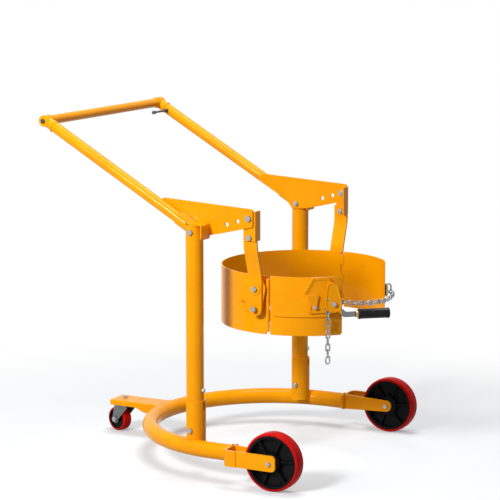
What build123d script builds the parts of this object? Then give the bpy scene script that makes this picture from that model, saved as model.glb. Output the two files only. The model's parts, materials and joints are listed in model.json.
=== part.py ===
from build123d import *

import math
import os

# Drum carrier: a bent-tube truck on two wheels and a caster, with a tilting drum saddle between its posts.
# Sizes are millimetres. X is forward, Y is left and Z is up.
# The drum's axis stands at X = 0 until the last step, which moves the part onto its own middle.
# Pieces of the right-hand side are made first, and the left-hand ones are their mirror images.

# Fits and fasteners
running_clearance = 0.06
bolt_hole_clearance = 0.3
moving_gap = 0.5
weld_gap = 0.3
cut_margin = 1.0
head_width_ratio = 1.7
head_height_ratio = 1.2
small_bolt = 5.0
frame_bolt = 6.0

# Drum and saddle
drum_radius = 286.0
band_bottom = 487.0
band_height = 201.0
shell_thickness = 4.0
flap_thickness = 3.2
flap_end_angle = 53.0
flap_corner_radius = 9.0
hinge_angle = 2.0
hinge_offset = 6.0
hinge_pin_radius = 3.5
knuckle_radius = 6.0
knuckle_count = 5
hinge_end_notch = 10.0

# Straps on the flaps
strap_bottom = 552.0
strap_height = 72.0
strap_thickness = 5.0
strap_start_angle = 6.0
strap_end_angle = 46.0

# Base frame
base_height = 100.0
tube_radius = 28.5
tube_wall = 3.5
bend_centre_x = -123.0
bend_radius = 434.0
leg_end_x = -50.0

# Front wheels and their forks
wheel_x = 124.0
wheel_offset = 30.0
wheel_radius = 100.0
tyre_width = 48.0
tyre_thickness = 9.0
tyre_shoulder = 6.0
hub_rim_width = 44.0
hub_rim_thickness = 9.0
hub_web_thickness = 8.0
hub_boss_radius = 32.0
hub_boss_length = 54.0
hub_rib_count = 6
hub_rib_turn = 53.0
hub_rib_thickness = 5.0
hub_rib_width = 34.0
hub_bore_clearance = 2.0
bearing_radius = 17.5
bearing_width = 11.0
bearing_race = 3.2
bearing_groove = 0.8
axle_radius = 5.0
axle_spacer_wall = 4.0
fork_gap = 64.0
fork_thickness = 8.0
fork_height = 54.0
fork_bend_radius = 20.0
fork_chamfer = 9.0
fork_eye_radius = 20.0
fork_step = 3.0
fork_step_length = 50.0
fork_end_reach = 23.0
fork_end_corner = 15.0

# Caster and the channel that carries it
channel_top = 125.0
channel_thickness = 5.0
channel_edge_radius = 4.0
channel_half_width = 46.0
channel_overhang = 37.0
channel_side_depth = 19.0
channel_deep_side_depth = 35.0
channel_deepens_behind = 108.0
channel_deep_behind = 72.0
channel_spare_hole_behind = 115.0
channel_spare_hole_radius = 5.5
caster_behind = 178.0
caster_trail = 30.0
caster_rest_turn = 15.0
caster_wheel_radius = 45.0
caster_wheel_width = 38.0
caster_tyre_thickness = 8.0
caster_rim_width = 32.0
caster_rim_thickness = 4.0
caster_dish_depth = 4.0
caster_axle_radius = 6.0
caster_boss_radius = 14.0
caster_fork_thickness = 3.0
caster_fork_gap = 44.0
caster_race_height = 11.5
caster_fork_half_length = 30.0
caster_leg_end_radius = 15.0
caster_race_radius = 24.0
kingpin_radius = 6.0

# Posts and their sockets
post_x = -215.0
post_inset = 28.43
post_radius = 30.15
post_wall = 3.5
post_bottom = 131.0
post_top = 862.0
socket_wall = 6.0
socket_clearance = 0.5
socket_top = 259.0
socket_bottom = 100.0
socket_reach = 14.5
socket_bolt_z = 158.0
socket_slot_z = 240.0
socket_slot_width = 14.0
socket_slot_height = 27.0
post_screw_z = 293.0

# Handle frame
pivot_z = 838.0
arm_angle = 30.0
arm_length = 688.0
arm_radius = 19.0
arm_wall = 3.0
arm_start = 22.0
gusset_thickness = 6.0
gusset_reach = 172.0
gusset_heel_reach = 42.0
gusset_nose = 16.0
gusset_nose_rise = 31.0
gusset_nose_drop = 29.0
gusset_waist_drop = 4.0
gusset_heel_drop = 20.0
gusset_corner_radius = 8.0
hood_thickness = 5.0
hood_front_bottom = 814.0
hood_length = 78.0
hood_fold_radius = 5.0
hood_corner_radius = 10.0
hood_front_gap = 8.0
hood_sleeve_start = 30.0
hood_sleeve_wall = 3.0
crossbar_radius = 16.5
crossbar_wall = 2.5
boss_radius = 20.0
boss_edge_radius = 3.0
boss_bore_depth = 27.0
crossbar_plug = 54.0
stow_pin_setback = 54.0
stow_pin_radius = 4.0
stow_pin_length = 100.0
stow_head_radius = 6.5
stow_head_length = 13.0
stow_collar_radius = 7.0
stow_collar_length = 13.0

# Links that hang the saddle from the handle frame
link_x = -26.0
link_pivot_z = 891.0
link_pivot_radius = 6.7
link_hole_pitch = 43.0
link_hole_slope = 17.5
link_hole_count = 3
hanger_top = 914.0
hanger_bottom = 813.0
hanger_back_x = -48.0
hanger_front_x = -3.0
hanger_thickness = 6.0
hanger_corner_radius = 10.0
hanger_web_width = 36.0
hanger_bolt_z = 825.0
bar_width = 50.0
bar_thickness = 8.0
bar_top = 846.0
bar_upper_bend_z = 790.0
bar_lower_bend_z = 690.0
bar_bend_radius = 110.0
bar_offset = 24.0
trunnion_z = 645.0
trunnion_radius = 6.0
trunnion_boss_radius = 21.0
trunnion_boss_thickness = 3.0
index_radius = 68.0
index_angle = 45.0
lock_pin_radius = 6.0
lock_pin_travel = 10.0
lock_pin_head_radius = 9.5
lock_pin_head_length = 8.0
lock_pin_chamfer = 2.0

# Trunnion brackets on the saddle
trunnion_plate_thickness = 6.0
trunnion_plate_hub = 34.0
trunnion_plate_ear = 22.0
trunnion_pad_height = 50.0
trunnion_pad_length = 76.0
trunnion_pad_front = -4.0
trunnion_seat_depth = 2.0

# Chain binder on the right-hand flap, laid out on a plane that touches the drum at this angle
binder_angle = 40.0
binder_axle_along = 26.0
binder_axle_z = 601.0
binder_base_gap = 5.5
binder_base_thickness = 7.5
binder_base_behind = 81.0
binder_base_ahead = 30.0
binder_base_drop = 34.0
binder_base_rise = 88.0
binder_base_top_behind = 68.0
binder_base_top_width = 54.0
binder_base_slant = 18.0
binder_shoulder_behind = 100.0
binder_shoulder_up = 32.0
binder_shoulder_height = 12.0
binder_base_ahead_drop = 9.0
binder_base_neck = 10.0
binder_base_neck_up = 4.0
binder_base_throat = 3.0
binder_base_throat_up = 20.0
binder_base_corner_radius = 5.0
binder_border_width = 9.0
binder_border_depth = 2.0
binder_ear_thickness = 5.0
binder_ear_radius = 7.0
binder_ear_behind = 79.0
binder_ear_width = 24.0
binder_ear_up = 23.0
binder_ear_bolt_behind = 61.0
binder_ear_bolt_drop = 12.0
binder_ear_bolt = 4.0
binder_axle_radius = 5.0
wheel_hub_radius = 6.6
ratchet_tooth_height = 2.4
ratchet_thickness = 4.5
ratchet_teeth = 12
lever_thickness = 4.0
lever_head_radius = 30.0
lever_lobe_radius = 20.0
lever_lobe_up = 54.0
lever_lobe_along = -5.0
lever_rim_width = 5.0
lever_rim_depth = 1.4
lever_bar_width = 18.0
lever_drop = 37.0
lever_bend_along = 34.0
lever_hole_along = -19.0
lever_hole_up = 14.0
grip_start_along = 84.0
grip_length = 109.0
grip_radius = 18.0
grip_edge_radius = 4.0
ferrule_length = 8.0
ferrule_radius = 11.0
pawl_along = 24.0
pawl_up = -16.0
pawl_pin_radius = 3.0
pawl_pin_head_radius = 5.0
pawl_pin_head_length = 3.0
pawl_eye_radius = 6.0
pawl_tip_radius = 0.8
pawl_tail_along = 9.0
pawl_tail_drop = 18.0
pawl_tail_radius = 3.0

# Chain and its hook
chain_wire = 5.0
chain_link_width = 18.0
chain_pitch = 21.6
chain_play = 0.4
chain_wheel_links = 2
chain_tail_links = 9
chain_wrap_start = 75.0
chain_edge_gap = 1.5
chain_edge_z = 599.0
chain_path_steps = 200
sag_precision = 0.001
hook_z = 580.0
hook_angle = 51.0
hook_peg_offset = 27.0
hook_peg_radius = 3.4
hook_peg_height = 14.0
hook_curl_radius = 11.0
hook_curl_angle = 130.0
hook_plate_thickness = 6.0
hook_plate_start_angle = 36.0
hook_plate_height = 40.0
hook_shelf_width = 14.0

# Values that follow from the sizes above
band_top = band_bottom + band_height
peg_offset = hook_peg_radius + chain_play
hinge_radius = drum_radius + hinge_offset
hook_peg_place = drum_radius + hook_peg_offset
binder_base_back = drum_radius + binder_base_gap
binder_base_front = binder_base_back + binder_base_thickness
bar_lower_inner = drum_radius + bar_offset
shell_radius = drum_radius + shell_thickness
flap_radius = drum_radius + flap_thickness
strap_radius = flap_radius + strap_thickness
post_y = math.sqrt((bend_radius - post_inset) ** 2 - (post_x - bend_centre_x) ** 2)
gusset_outer = post_y - post_radius
gusset_inner = gusset_outer - gusset_thickness
arm_y = gusset_outer + arm_radius
hood_outer = post_y + post_radius
hanger_outer = gusset_inner - moving_gap
hanger_inner = hanger_outer - hanger_thickness
bar_upper_outer = hanger_inner
bar_upper_inner = bar_upper_outer - bar_thickness
bar_lower_outer = bar_lower_inner + bar_thickness
trunnion_plate_outer = bar_lower_inner - moving_gap
trunnion_plate_inner = trunnion_plate_outer - trunnion_plate_thickness
trunnion_seat = trunnion_plate_inner - trunnion_seat_depth
lock_pin_z = trunnion_z - index_radius
wheel_inner_radius = wheel_radius - tyre_thickness
wheel_y = bend_radius + wheel_offset
fork_inner_leg = wheel_y - fork_gap / 2
fork_outer_leg = wheel_y + fork_gap / 2
handle_x = post_x - arm_length * math.cos(math.radians(arm_angle))
handle_z = pivot_z + arm_length * math.sin(math.radians(arm_angle))
stow_pin_place = arm_length - stow_pin_setback
tube_back_x = bend_centre_x - bend_radius
caster_x = tube_back_x - caster_behind
channel_end_x = caster_x - channel_overhang
channel_underside = channel_top - channel_thickness
caster_fork_top = channel_underside - caster_race_height - moving_gap
caster_axle_x = caster_x - caster_trail
ratchet_radius = wheel_hub_radius + chain_link_width / 2 - chain_wire / 2
ratchet_root_radius = ratchet_radius - ratchet_tooth_height
binder_wheel_front = binder_base_front + moving_gap + chain_link_width + 2 * moving_gap
lever_back = binder_wheel_front + moving_gap
chain_depth = (binder_base_front + binder_wheel_front + moving_gap) / 2


def round_y(radius, inner, outer, x, z):
    """Right-hand round bar along Y between two distances from the middle plane."""
    return Pos(x, -(inner + outer) / 2, z) * Rot(90, 0, 0) * Cylinder(radius, outer - inner)


def ring_y(radius, bore, inner, outer, x, z):
    """Right-hand ring along Y."""
    return round_y(radius, inner, outer, x, z) - round_y(bore, inner, outer, x, z)


def side_plate(outline, inner, outer):
    """Right-hand plate with an XZ outline, between two distances from the middle plane."""
    return extrude(Plane.XZ.offset(inner) * outline, outer - inner)


def rounded_outline(points, radius):
    """Closed outline with every corner rounded alike."""
    return make_face(FilletPolyline(*points, radius=radius, close=True))


def hull_of(circles):
    """Outline that wraps round circles."""
    return make_hull([edge for circle in circles for edge in circle.edges()])


def mirrored(shape):
    """Left-hand copy of a right-hand piece."""
    return mirror(shape, about=Plane.XZ)


def pair(shape):
    """A right-hand piece and its left-hand copy in one group."""
    return Compound(children=[*shape.solids(), *mirrored(shape).solids()])


def bolt_hole(shank):
    """Radius of the hole that a bolt passes through."""
    return shank + bolt_hole_clearance


def hexagon(shank):
    """Outline of the head or nut that suits a shank."""
    return RegularPolygon(head_width_ratio * shank, 6)


def side_bolt(shank, x, z, tip, seat):
    """Right-hand hex bolt along Y, with its head outside the seat."""
    head = side_plate(Pos(x, z) * hexagon(shank), seat, seat + head_height_ratio * shank)
    return head + round_y(shank, tip, seat, x, z)


def side_nut(shank, x, z, seat):
    """Right-hand hex nut along Y, inside the seat."""
    nut = side_plate(Pos(x, z) * hexagon(shank), seat - head_height_ratio * shank, seat)
    return nut - round_y(shank + running_clearance, seat - 2 * head_height_ratio * shank, seat, x, z)


def bolt_and_nut(shank, x, z, nut_seat, head_seat):
    """Right-hand bolt through everything between two seats, with its nut on the inner one."""
    tip = nut_seat - head_height_ratio * shank - shank / 2
    return Compound(children=[side_bolt(shank, x, z, tip, head_seat), side_nut(shank, x, z, nut_seat)])


def band(inner, outer, start, end, bottom, top):
    """Upright sheet bent round the drum axis, between angles counted from the right towards the front."""
    outer_arc = CenterArc((0, 0), outer, start - 90, end - start)
    inner_arc = CenterArc((0, 0), inner, start - 90, end - start)
    sides = [Line(outer_arc @ 0, inner_arc @ 0), Line(outer_arc @ 1, inner_arc @ 1)]
    face = make_face([outer_arc.edge(), inner_arc.edge(), sides[0].edge(), sides[1].edge()])
    return extrude(Pos(0, 0, bottom) * face, top - bottom)


def round_point(radius, angle, z):
    """Point at a radius and angle round the drum axis."""
    turn = math.radians(angle)
    return Vector(radius * math.sin(turn), -radius * math.cos(turn), z)


def base_rod(radius):
    """Solid bar along the bent path of the base tube."""
    start = (leg_end_x, -bend_radius, base_height)
    bend_start = (bend_centre_x, -bend_radius, base_height)
    bend_middle = (bend_centre_x - bend_radius, 0, base_height)
    bend_end = (bend_centre_x, bend_radius, base_height)
    finish = (leg_end_x, bend_radius, base_height)
    bend = ThreePointArc(bend_start, bend_middle, bend_end)
    path = Line(start, bend_start) + bend + Line(bend_end, finish)
    section = Plane(origin=path @ 0, z_dir=path % 0) * Circle(radius)
    return sweep(section, path=path)


def make_fork():
    """Bent strap with a welded inner leg that holds one front wheel."""
    back = leg_end_x
    front = wheel_x + fork_end_reach
    web_end = bend_radius - tube_radius
    outside = fork_outer_leg + fork_thickness
    cheek = outside + fork_step
    cheek_end = back + fork_step_length
    strap = make_face(Polyline(
        (back, -web_end), (back, -cheek), (cheek_end, -cheek), (cheek_end, -outside), (front, -outside),
        (front, -fork_outer_leg), (back + fork_thickness, -fork_outer_leg), (back + fork_thickness, -web_end),
        close=True))
    outer_corner = strap.vertices().sort_by_distance((back, -cheek, 0))[0]
    strap = fillet(outer_corner, fork_bend_radius)
    inner_corner = strap.vertices().sort_by_distance((back + fork_thickness, -fork_outer_leg, 0))[0]
    strap = fillet(inner_corner, fork_bend_radius - fork_thickness)
    half = fork_height / 2
    fork = extrude(Pos(0, 0, base_height - half) * strap, fork_height)
    outline = make_face(Polyline(
        (back, base_height + half), (front, base_height + half), (front, base_height - half),
        (back + fork_chamfer, base_height - half), (back, base_height - half + fork_chamfer), close=True))
    outline = fillet(outline.vertices().group_by(Axis.X)[-1], fork_end_corner)
    inner = web_end - cut_margin
    outer = cheek + cut_margin
    fork = fork & side_plate(outline, inner, outer)
    leg_root = Pos(back + fork_thickness, base_height) * Rectangle(fork_thickness, fork_height)
    leg = hull_of([leg_root, Pos(wheel_x, base_height) * Circle(fork_eye_radius)])
    fork += side_plate(leg, fork_inner_leg - fork_thickness, fork_inner_leg)
    return fork - round_y(bolt_hole(axle_radius), inner, outer, wheel_x, base_height)


def turned(profile, x, y, z):
    """Round piece with its axis along Y, from a profile of radius against distance along the axis."""
    return Pos(x, y, z) * revolve(profile, axis=Axis.Y)


def ring_profile(inner, outer, width):
    """Half section of a ring."""
    return Pos((inner + outer) / 2, 0) * Rectangle(outer - inner, width)


def make_tyre():
    """Round-shouldered tread of a front wheel."""
    profile = ring_profile(wheel_inner_radius, wheel_radius, tyre_width)
    profile = fillet(profile.vertices().group_by(Axis.X)[-1], tyre_shoulder)
    return turned(profile, wheel_x, -wheel_y, base_height)


def make_hub():
    """Ribbed wheel centre with a seat for a bearing at each end."""
    rim_inner = wheel_inner_radius - hub_rim_thickness
    profile = ring_profile(rim_inner, wheel_inner_radius, hub_rim_width)
    profile += ring_profile(hub_boss_radius, rim_inner, hub_web_thickness)
    profile += ring_profile(0, hub_boss_radius, hub_boss_length)
    hub = revolve(profile, axis=Axis.Y)
    rib_length = rim_inner - hub_boss_radius + 2 * cut_margin
    rib = Pos((rim_inner + hub_boss_radius) / 2, 0, 0) * Box(rib_length, hub_rib_width, hub_rib_thickness)
    for number in range(hub_rib_count):
        hub += Rot(0, hub_rib_turn + 360 / hub_rib_count * number, 0) * rib
    hub -= Rot(90, 0, 0) * Cylinder(axle_radius + hub_bore_clearance, hub_boss_length)
    seat = Rot(90, 0, 0) * Cylinder(bearing_radius, bearing_width)
    for end in (-1, 1):
        hub -= Pos(0, end * (hub_boss_length - bearing_width) / 2, 0) * seat
    return Pos(wheel_x, -wheel_y, base_height) * hub


def make_wheel_bearings():
    """Two ball bearings, each as one ring with a groove between its races."""
    ring = ring_profile(axle_radius + running_clearance, bearing_radius, bearing_width)
    groove = ring_profile(axle_radius + bearing_race, bearing_radius - bearing_race, 2 * bearing_groove)
    ring -= Pos(0, bearing_width / 2) * groove
    ring -= Pos(0, -bearing_width / 2) * groove
    place = (hub_boss_length - bearing_width) / 2
    bearings = []
    for end in (-1, 1):
        bearings += turned(ring, wheel_x, -wheel_y + end * place, base_height).solids()
    return Compound(children=bearings)


def make_wheel_axle():
    """Axle bolt, its nut and the two spacers that keep the wheel off the fork."""
    nut_seat = fork_inner_leg - fork_thickness
    fastening = bolt_and_nut(axle_radius, wheel_x, base_height, nut_seat, fork_outer_leg + fork_thickness)
    boss_half = hub_boss_length / 2 + moving_gap
    spacer_radius = axle_radius + axle_spacer_wall
    outer = ring_y(spacer_radius, axle_radius, wheel_y + boss_half, fork_outer_leg, wheel_x, base_height)
    inner = ring_y(spacer_radius, axle_radius, fork_inner_leg, wheel_y - boss_half, wheel_x, base_height)
    return Compound(children=[*fastening.solids(), *outer.solids(), *inner.solids()])


def make_caster_channel():
    """Folded channel from the rear of the base tube to the caster, shaped to the tube."""
    length = tube_back_x - channel_end_x
    middle = (tube_back_x + channel_end_x) / 2
    top_plate = Pos(middle, 0, channel_top - channel_thickness / 2) * Box(
        length, 2 * channel_half_width, channel_thickness)
    shallow = channel_top - channel_side_depth
    deep = channel_top - channel_deep_side_depth
    side = make_face(Polyline(
        (channel_end_x, channel_top), (channel_end_x, shallow),
        (tube_back_x - channel_deepens_behind, shallow), (tube_back_x - channel_deep_behind, deep),
        (tube_back_x, deep), (tube_back_x, channel_top), close=True))
    flange = side_plate(side, channel_half_width - channel_thickness, channel_half_width)
    channel = top_plate + flange + mirrored(flange)
    top_edges = channel.edges().filter_by(Axis.X).group_by(Axis.Z)[-1]
    channel = fillet(top_edges, channel_edge_radius)
    channel -= Pos(caster_x, 0, channel_top) * Cylinder(bolt_hole(kingpin_radius), 4 * channel_thickness)
    spare_hole = Cylinder(channel_spare_hole_radius, 4 * channel_thickness)
    channel -= Pos(tube_back_x - channel_spare_hole_behind, 0, channel_top) * spare_hole
    return channel - base_rod(tube_radius)


def make_kingpin():
    """Bolt that the caster turns on, with its nut under the caster's fork."""
    head_height = head_height_ratio * kingpin_radius
    nut_top = caster_fork_top - caster_fork_thickness - moving_gap
    bottom = nut_top - head_height - kingpin_radius / 2
    shank = Pos(caster_x, 0, (channel_top + bottom) / 2) * Cylinder(kingpin_radius, channel_top - bottom)
    head = extrude(Pos(caster_x, 0, channel_top) * hexagon(kingpin_radius), head_height)
    nut = extrude(Pos(caster_x, 0, nut_top - head_height) * hexagon(kingpin_radius), head_height)
    nut -= Pos(caster_x, 0, nut_top) * Cylinder(kingpin_radius + running_clearance, 4 * head_height)
    return Compound(children=[*(head + shank).solids(), *nut.solids()])


def make_swivel_race():
    """Fixed race between the channel and the caster's fork."""
    middle = Pos(caster_x, 0, channel_underside - caster_race_height / 2)
    race = middle * Cylinder(caster_race_radius, caster_race_height)
    race = chamfer(race.edges().group_by(Axis.Z)[0], caster_race_height / 3)
    return race - middle * Cylinder(bolt_hole(kingpin_radius), caster_race_height)


def caster_turned(shape):
    """Piece of the caster, turned on its kingpin to the way that the caster points at rest."""
    return Pos(caster_x, 0, 0) * Rot(0, 0, -caster_rest_turn) * Pos(-caster_x, 0, 0) * shape


def make_caster_fork():
    """Pressed yoke of the caster: a top plate and two legs that lean back to the axle."""
    half_gap = caster_fork_gap / 2
    outside = half_gap + caster_fork_thickness
    front = caster_x + caster_fork_half_length
    back = caster_x - caster_fork_half_length
    lean = caster_leg_end_radius
    axle_z = caster_wheel_radius
    leg_outline = make_face(Polyline(
        (back, caster_fork_top), (front, caster_fork_top), (front, caster_fork_top - lean),
        (caster_axle_x + lean, axle_z), (caster_axle_x - lean, axle_z), close=True))
    leg_outline += Pos(caster_axle_x, axle_z) * Circle(lean)
    leg = side_plate(leg_outline, half_gap, outside)
    top_plate = Pos(caster_x, 0, caster_fork_top - caster_fork_thickness / 2) * Box(
        2 * caster_fork_half_length, 2 * outside, caster_fork_thickness)
    fork = top_plate + leg + mirrored(leg)
    fork = fillet(fork.edges().filter_by(Axis.X).group_by(Axis.Z)[-1], caster_fork_thickness - moving_gap)
    kingpin_bore = Cylinder(kingpin_radius + running_clearance, 4 * caster_fork_thickness)
    fork -= Pos(caster_x, 0, caster_fork_top) * kingpin_bore
    fork -= round_y(bolt_hole(caster_axle_radius), -outside, outside, caster_axle_x, axle_z)
    return caster_turned(fork)


def make_caster_axle():
    """Axle bolt of the caster with a nut on the far leg."""
    outside = caster_fork_gap / 2 + caster_fork_thickness
    axle = bolt_and_nut(caster_axle_radius, caster_axle_x, caster_wheel_radius, -outside, outside)
    return caster_turned(axle)


def make_caster_tyre():
    """Tread of the caster wheel."""
    rim = caster_wheel_radius - caster_tyre_thickness
    profile = ring_profile(rim, caster_wheel_radius, caster_wheel_width)
    profile = fillet(profile.vertices().group_by(Axis.X)[-1], caster_tyre_thickness / 2)
    return caster_turned(turned(profile, caster_axle_x, 0, caster_wheel_radius))


def make_caster_hub():
    """Wheel centre of the caster, dished on both faces."""
    rim = caster_wheel_radius - caster_tyre_thickness
    bore = caster_axle_radius + running_clearance
    profile = ring_profile(bore, rim, caster_rim_width)
    dish = ring_profile(caster_boss_radius, rim - caster_rim_thickness, 2 * caster_dish_depth)
    for side in (-1, 1):
        profile -= Pos(0, side * caster_rim_width / 2) * dish
    profile += ring_profile(bore, caster_boss_radius, caster_fork_gap - 2 * moving_gap)
    return caster_turned(turned(profile, caster_axle_x, 0, caster_wheel_radius))


def make_socket():
    """Channel with a round front, open to the rear, that holds the foot of a post on the base tube."""
    inside = post_radius + socket_clearance
    outside = inside + socket_wall
    plan = Circle(outside) + Pos(-outside / 2, 0) * Rectangle(outside, 2 * outside)
    plan -= Circle(inside) + Pos(-outside / 2, 0) * Rectangle(outside, 2 * inside)
    length = outside + socket_reach
    plan = plan & Pos(outside - length / 2, 0) * Rectangle(length, 2 * outside)
    body = extrude(Pos(post_x, -post_y, socket_bottom) * plan, socket_top - socket_bottom)
    slot = Box(3 * socket_wall, socket_slot_width, socket_slot_height)
    slot = fillet(slot.edges().filter_by(Axis.X), socket_slot_width / 3)
    body -= Pos(post_x + outside, -post_y, socket_slot_z) * slot
    body -= round_y(bolt_hole(frame_bolt), post_y - 2 * outside, post_y + 2 * outside, post_x, socket_bolt_z)
    return body - base_rod(tube_radius)


def make_post():
    """Round tube drilled for the bolts at its foot and head, and for the screw on its front."""
    height = post_top - post_bottom
    middle = Pos(post_x, -post_y, (post_top + post_bottom) / 2)
    post = middle * Cylinder(post_radius, height) - middle * Cylinder(post_radius - post_wall, height)
    for z in (socket_bolt_z, pivot_z):
        post -= round_y(bolt_hole(frame_bolt), post_y - 2 * post_radius, post_y + 2 * post_radius, post_x, z)
    screw_hole = Rot(0, 90, 0) * Cylinder(bolt_hole(small_bolt), post_radius)
    return post - Pos(post_x + post_radius, -post_y, post_screw_z) * screw_hole


def make_post_screw():
    """Hex screw in the front of a post."""
    seat = post_x + post_radius
    length = 4 * post_wall
    shank = Pos(seat - length / 2, -post_y, post_screw_z) * Rot(0, 90, 0) * Cylinder(small_bolt, length)
    plane = Plane(origin=(seat, -post_y, post_screw_z), x_dir=(0, 1, 0), z_dir=(1, 0, 0))
    return shank + extrude(plane * hexagon(small_bolt), head_height_ratio * small_bolt)


def arm_point(along, above):
    """XZ point at a distance along an arm from the post's top bolt and a distance above the arm's axis."""
    turn = math.radians(arm_angle)
    x = post_x - along * math.cos(turn) + above * math.sin(turn)
    z = pivot_z + along * math.sin(turn) + above * math.cos(turn)
    return (x, z)


def arm_rod(radius, start, end):
    """Right-hand round bar along an arm's axis."""
    first = arm_point(start, 0)
    last = arm_point(end, 0)
    path = Line((first[0], -arm_y, first[1]), (last[0], -arm_y, last[1]))
    return sweep(Plane(origin=path @ 0, z_dir=path % 0) * Circle(radius), path=path)


def post_clearance():
    """Space that the pieces welded on behind a post's head leave for the post."""
    return Pos(post_x, -post_y, post_top) * Cylinder(post_radius + weld_gap, 2 * hood_length)


def make_arm():
    """Handle arm: a tube that is shaped to the post at its foot and to the crossbar's boss above."""
    arm = arm_rod(arm_radius, arm_start, arm_length) - arm_rod(arm_radius - arm_wall, arm_start, arm_length)
    arm -= post_clearance()
    return arm - round_y(boss_radius, gusset_outer - cut_margin, arm_y + 2 * arm_radius, handle_x, handle_z)


def make_boss():
    """Round boss on an arm's upper end, bored from inside for the crossbar."""
    boss = round_y(boss_radius, gusset_outer, arm_y + arm_radius, handle_x, handle_z)
    boss = fillet(boss.edges().group_by(Axis.Y)[0], boss_edge_radius)
    bore = crossbar_radius + running_clearance
    boss -= round_y(bore, gusset_outer, gusset_outer + boss_bore_depth, handle_x, handle_z)
    return boss - round_y(bolt_hole(small_bolt), gusset_outer, arm_y + 2 * arm_radius, handle_x, handle_z)


def make_crossbar():
    """Handle tube across the two arms, with a tapped plug in each end."""
    end = gusset_outer + boss_bore_depth
    plug_end = end - crossbar_plug
    bar = round_y(crossbar_radius, -end, end, handle_x, handle_z)
    bar -= round_y(crossbar_radius - crossbar_wall, -plug_end, plug_end, handle_x, handle_z)
    thread = round_y(small_bolt, end - boss_bore_depth, end, handle_x, handle_z)
    return bar - thread - mirrored(thread)


def make_crossbar_bolt():
    """Bolt that holds the crossbar in its boss."""
    tip = gusset_outer + boss_bore_depth / 2
    return side_bolt(small_bolt, handle_x, handle_z, tip, arm_y + arm_radius)


def link_hole_points():
    """XZ places of the row of link holes, from the link in use to the rearmost spare one."""
    turn = math.radians(link_hole_slope)
    points = []
    for number in range(link_hole_count):
        back = number * link_hole_pitch
        points.append((link_x - back * math.cos(turn), link_pivot_z - back * math.sin(turn)))
    return points


def make_gusset():
    """Flat plate that joins an arm to its post and carries the link's pivot in front."""
    front = link_x + gusset_nose
    heel = pivot_z - gusset_heel_drop
    points = [
        arm_point(gusset_reach, arm_radius), (front, link_pivot_z + gusset_nose_rise),
        (front, link_pivot_z - gusset_nose_drop), (post_x + 3 * post_radius, pivot_z - gusset_waist_drop),
        (post_x + post_radius, heel + gusset_waist_drop), (post_x - post_radius / 2, heel),
        arm_point(gusset_heel_reach, -arm_radius / 2), arm_point(gusset_reach, -arm_radius / 2)]
    plate = side_plate(rounded_outline(points, gusset_corner_radius), gusset_inner, gusset_outer)
    inner = gusset_inner - cut_margin
    outer = gusset_outer + cut_margin
    for x, z in link_hole_points():
        plate -= round_y(bolt_hole(link_pivot_radius), inner, outer, x, z)
    return plate - round_y(bolt_hole(frame_bolt), inner, outer, post_x, pivot_z)


def make_hood():
    """Bent cap over the head of a post, with a tab down its front and a sleeve round the arm's foot."""
    front = post_x + post_radius + hood_front_gap
    slope_end = arm_point(hood_length, arm_radius)
    slope_end_top = arm_point(hood_length, arm_radius + hood_thickness)
    turn = math.tan(math.radians(arm_angle))
    bend_x = slope_end[0] + (slope_end[1] - post_top) / turn
    bend_top_x = slope_end_top[0] + (slope_end_top[1] - post_top - hood_thickness) / turn
    cap = make_face(Polyline(
        slope_end, (bend_x, post_top), (front, post_top), (front, hood_front_bottom),
        (front + hood_thickness, hood_front_bottom), (front + hood_thickness, post_top + hood_thickness),
        (bend_top_x, post_top + hood_thickness), slope_end_top, close=True))
    inner_corner = cap.vertices().sort_by_distance((front, post_top, 0))[0]
    cap = fillet(inner_corner, hood_fold_radius)
    outer_corner = cap.vertices().sort_by_distance((front + hood_thickness, post_top + hood_thickness, 0))[0]
    cap = fillet(outer_corner, hood_fold_radius + hood_thickness)
    hood = side_plate(cap, gusset_outer, hood_outer)
    hood = fillet(hood.edges().filter_by(Axis.Y, reverse=True).group_by(Axis.Z)[0], hood_corner_radius)
    sleeve = arm_rod(arm_radius + hood_sleeve_wall, hood_sleeve_start, hood_length)
    sleeve -= arm_rod(arm_radius + running_clearance, hood_sleeve_start, hood_length)
    outside_gusset = side_plate(Pos(post_x, pivot_z) * Rectangle(4 * hood_length, 4 * hood_length),
                                gusset_outer, hood_outer)
    return hood + ((sleeve & outside_gusset) - post_clearance())


def make_stow_pin():
    """Headed pin with a collar on the inner side of the left-hand arm."""
    x, z = arm_point(stow_pin_place, 0)
    root = arm_y - arm_radius + arm_wall
    tip = gusset_outer - stow_pin_length
    pin = round_y(stow_pin_radius, tip, root, x, z)
    pin += round_y(stow_head_radius, tip, tip + stow_head_length, x, z)
    collar = round_y(stow_collar_radius, gusset_outer - stow_collar_length, arm_y, x, z)
    return mirrored((pin + collar) - arm_rod(arm_radius, arm_start, arm_length))


def make_hanger():
    """Angle that hangs from the gusset's pivot, with its web turned inward."""
    flange_outline = make_face(Polyline(
        (hanger_back_x, hanger_bottom), (hanger_front_x, hanger_bottom), (hanger_front_x, hanger_top),
        (hanger_back_x, hanger_top), close=True))
    flange_outline = fillet(flange_outline.vertices().group_by(Axis.X)[0], hanger_corner_radius)
    hanger = side_plate(flange_outline, hanger_inner, hanger_outer)
    web = Box(hanger_thickness, hanger_web_width, hanger_top - hanger_bottom)
    web_x = hanger_front_x - hanger_thickness / 2
    hanger += Pos(web_x, hanger_web_width / 2 - hanger_outer, (hanger_top + hanger_bottom) / 2) * web
    pivot_bore = link_pivot_radius + running_clearance
    for radius, z in ((pivot_bore, link_pivot_z), (bolt_hole(frame_bolt), hanger_bolt_z)):
        hanger -= round_y(radius, hanger_inner - cut_margin, hanger_outer + cut_margin, link_x, z)
    return hanger


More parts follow.
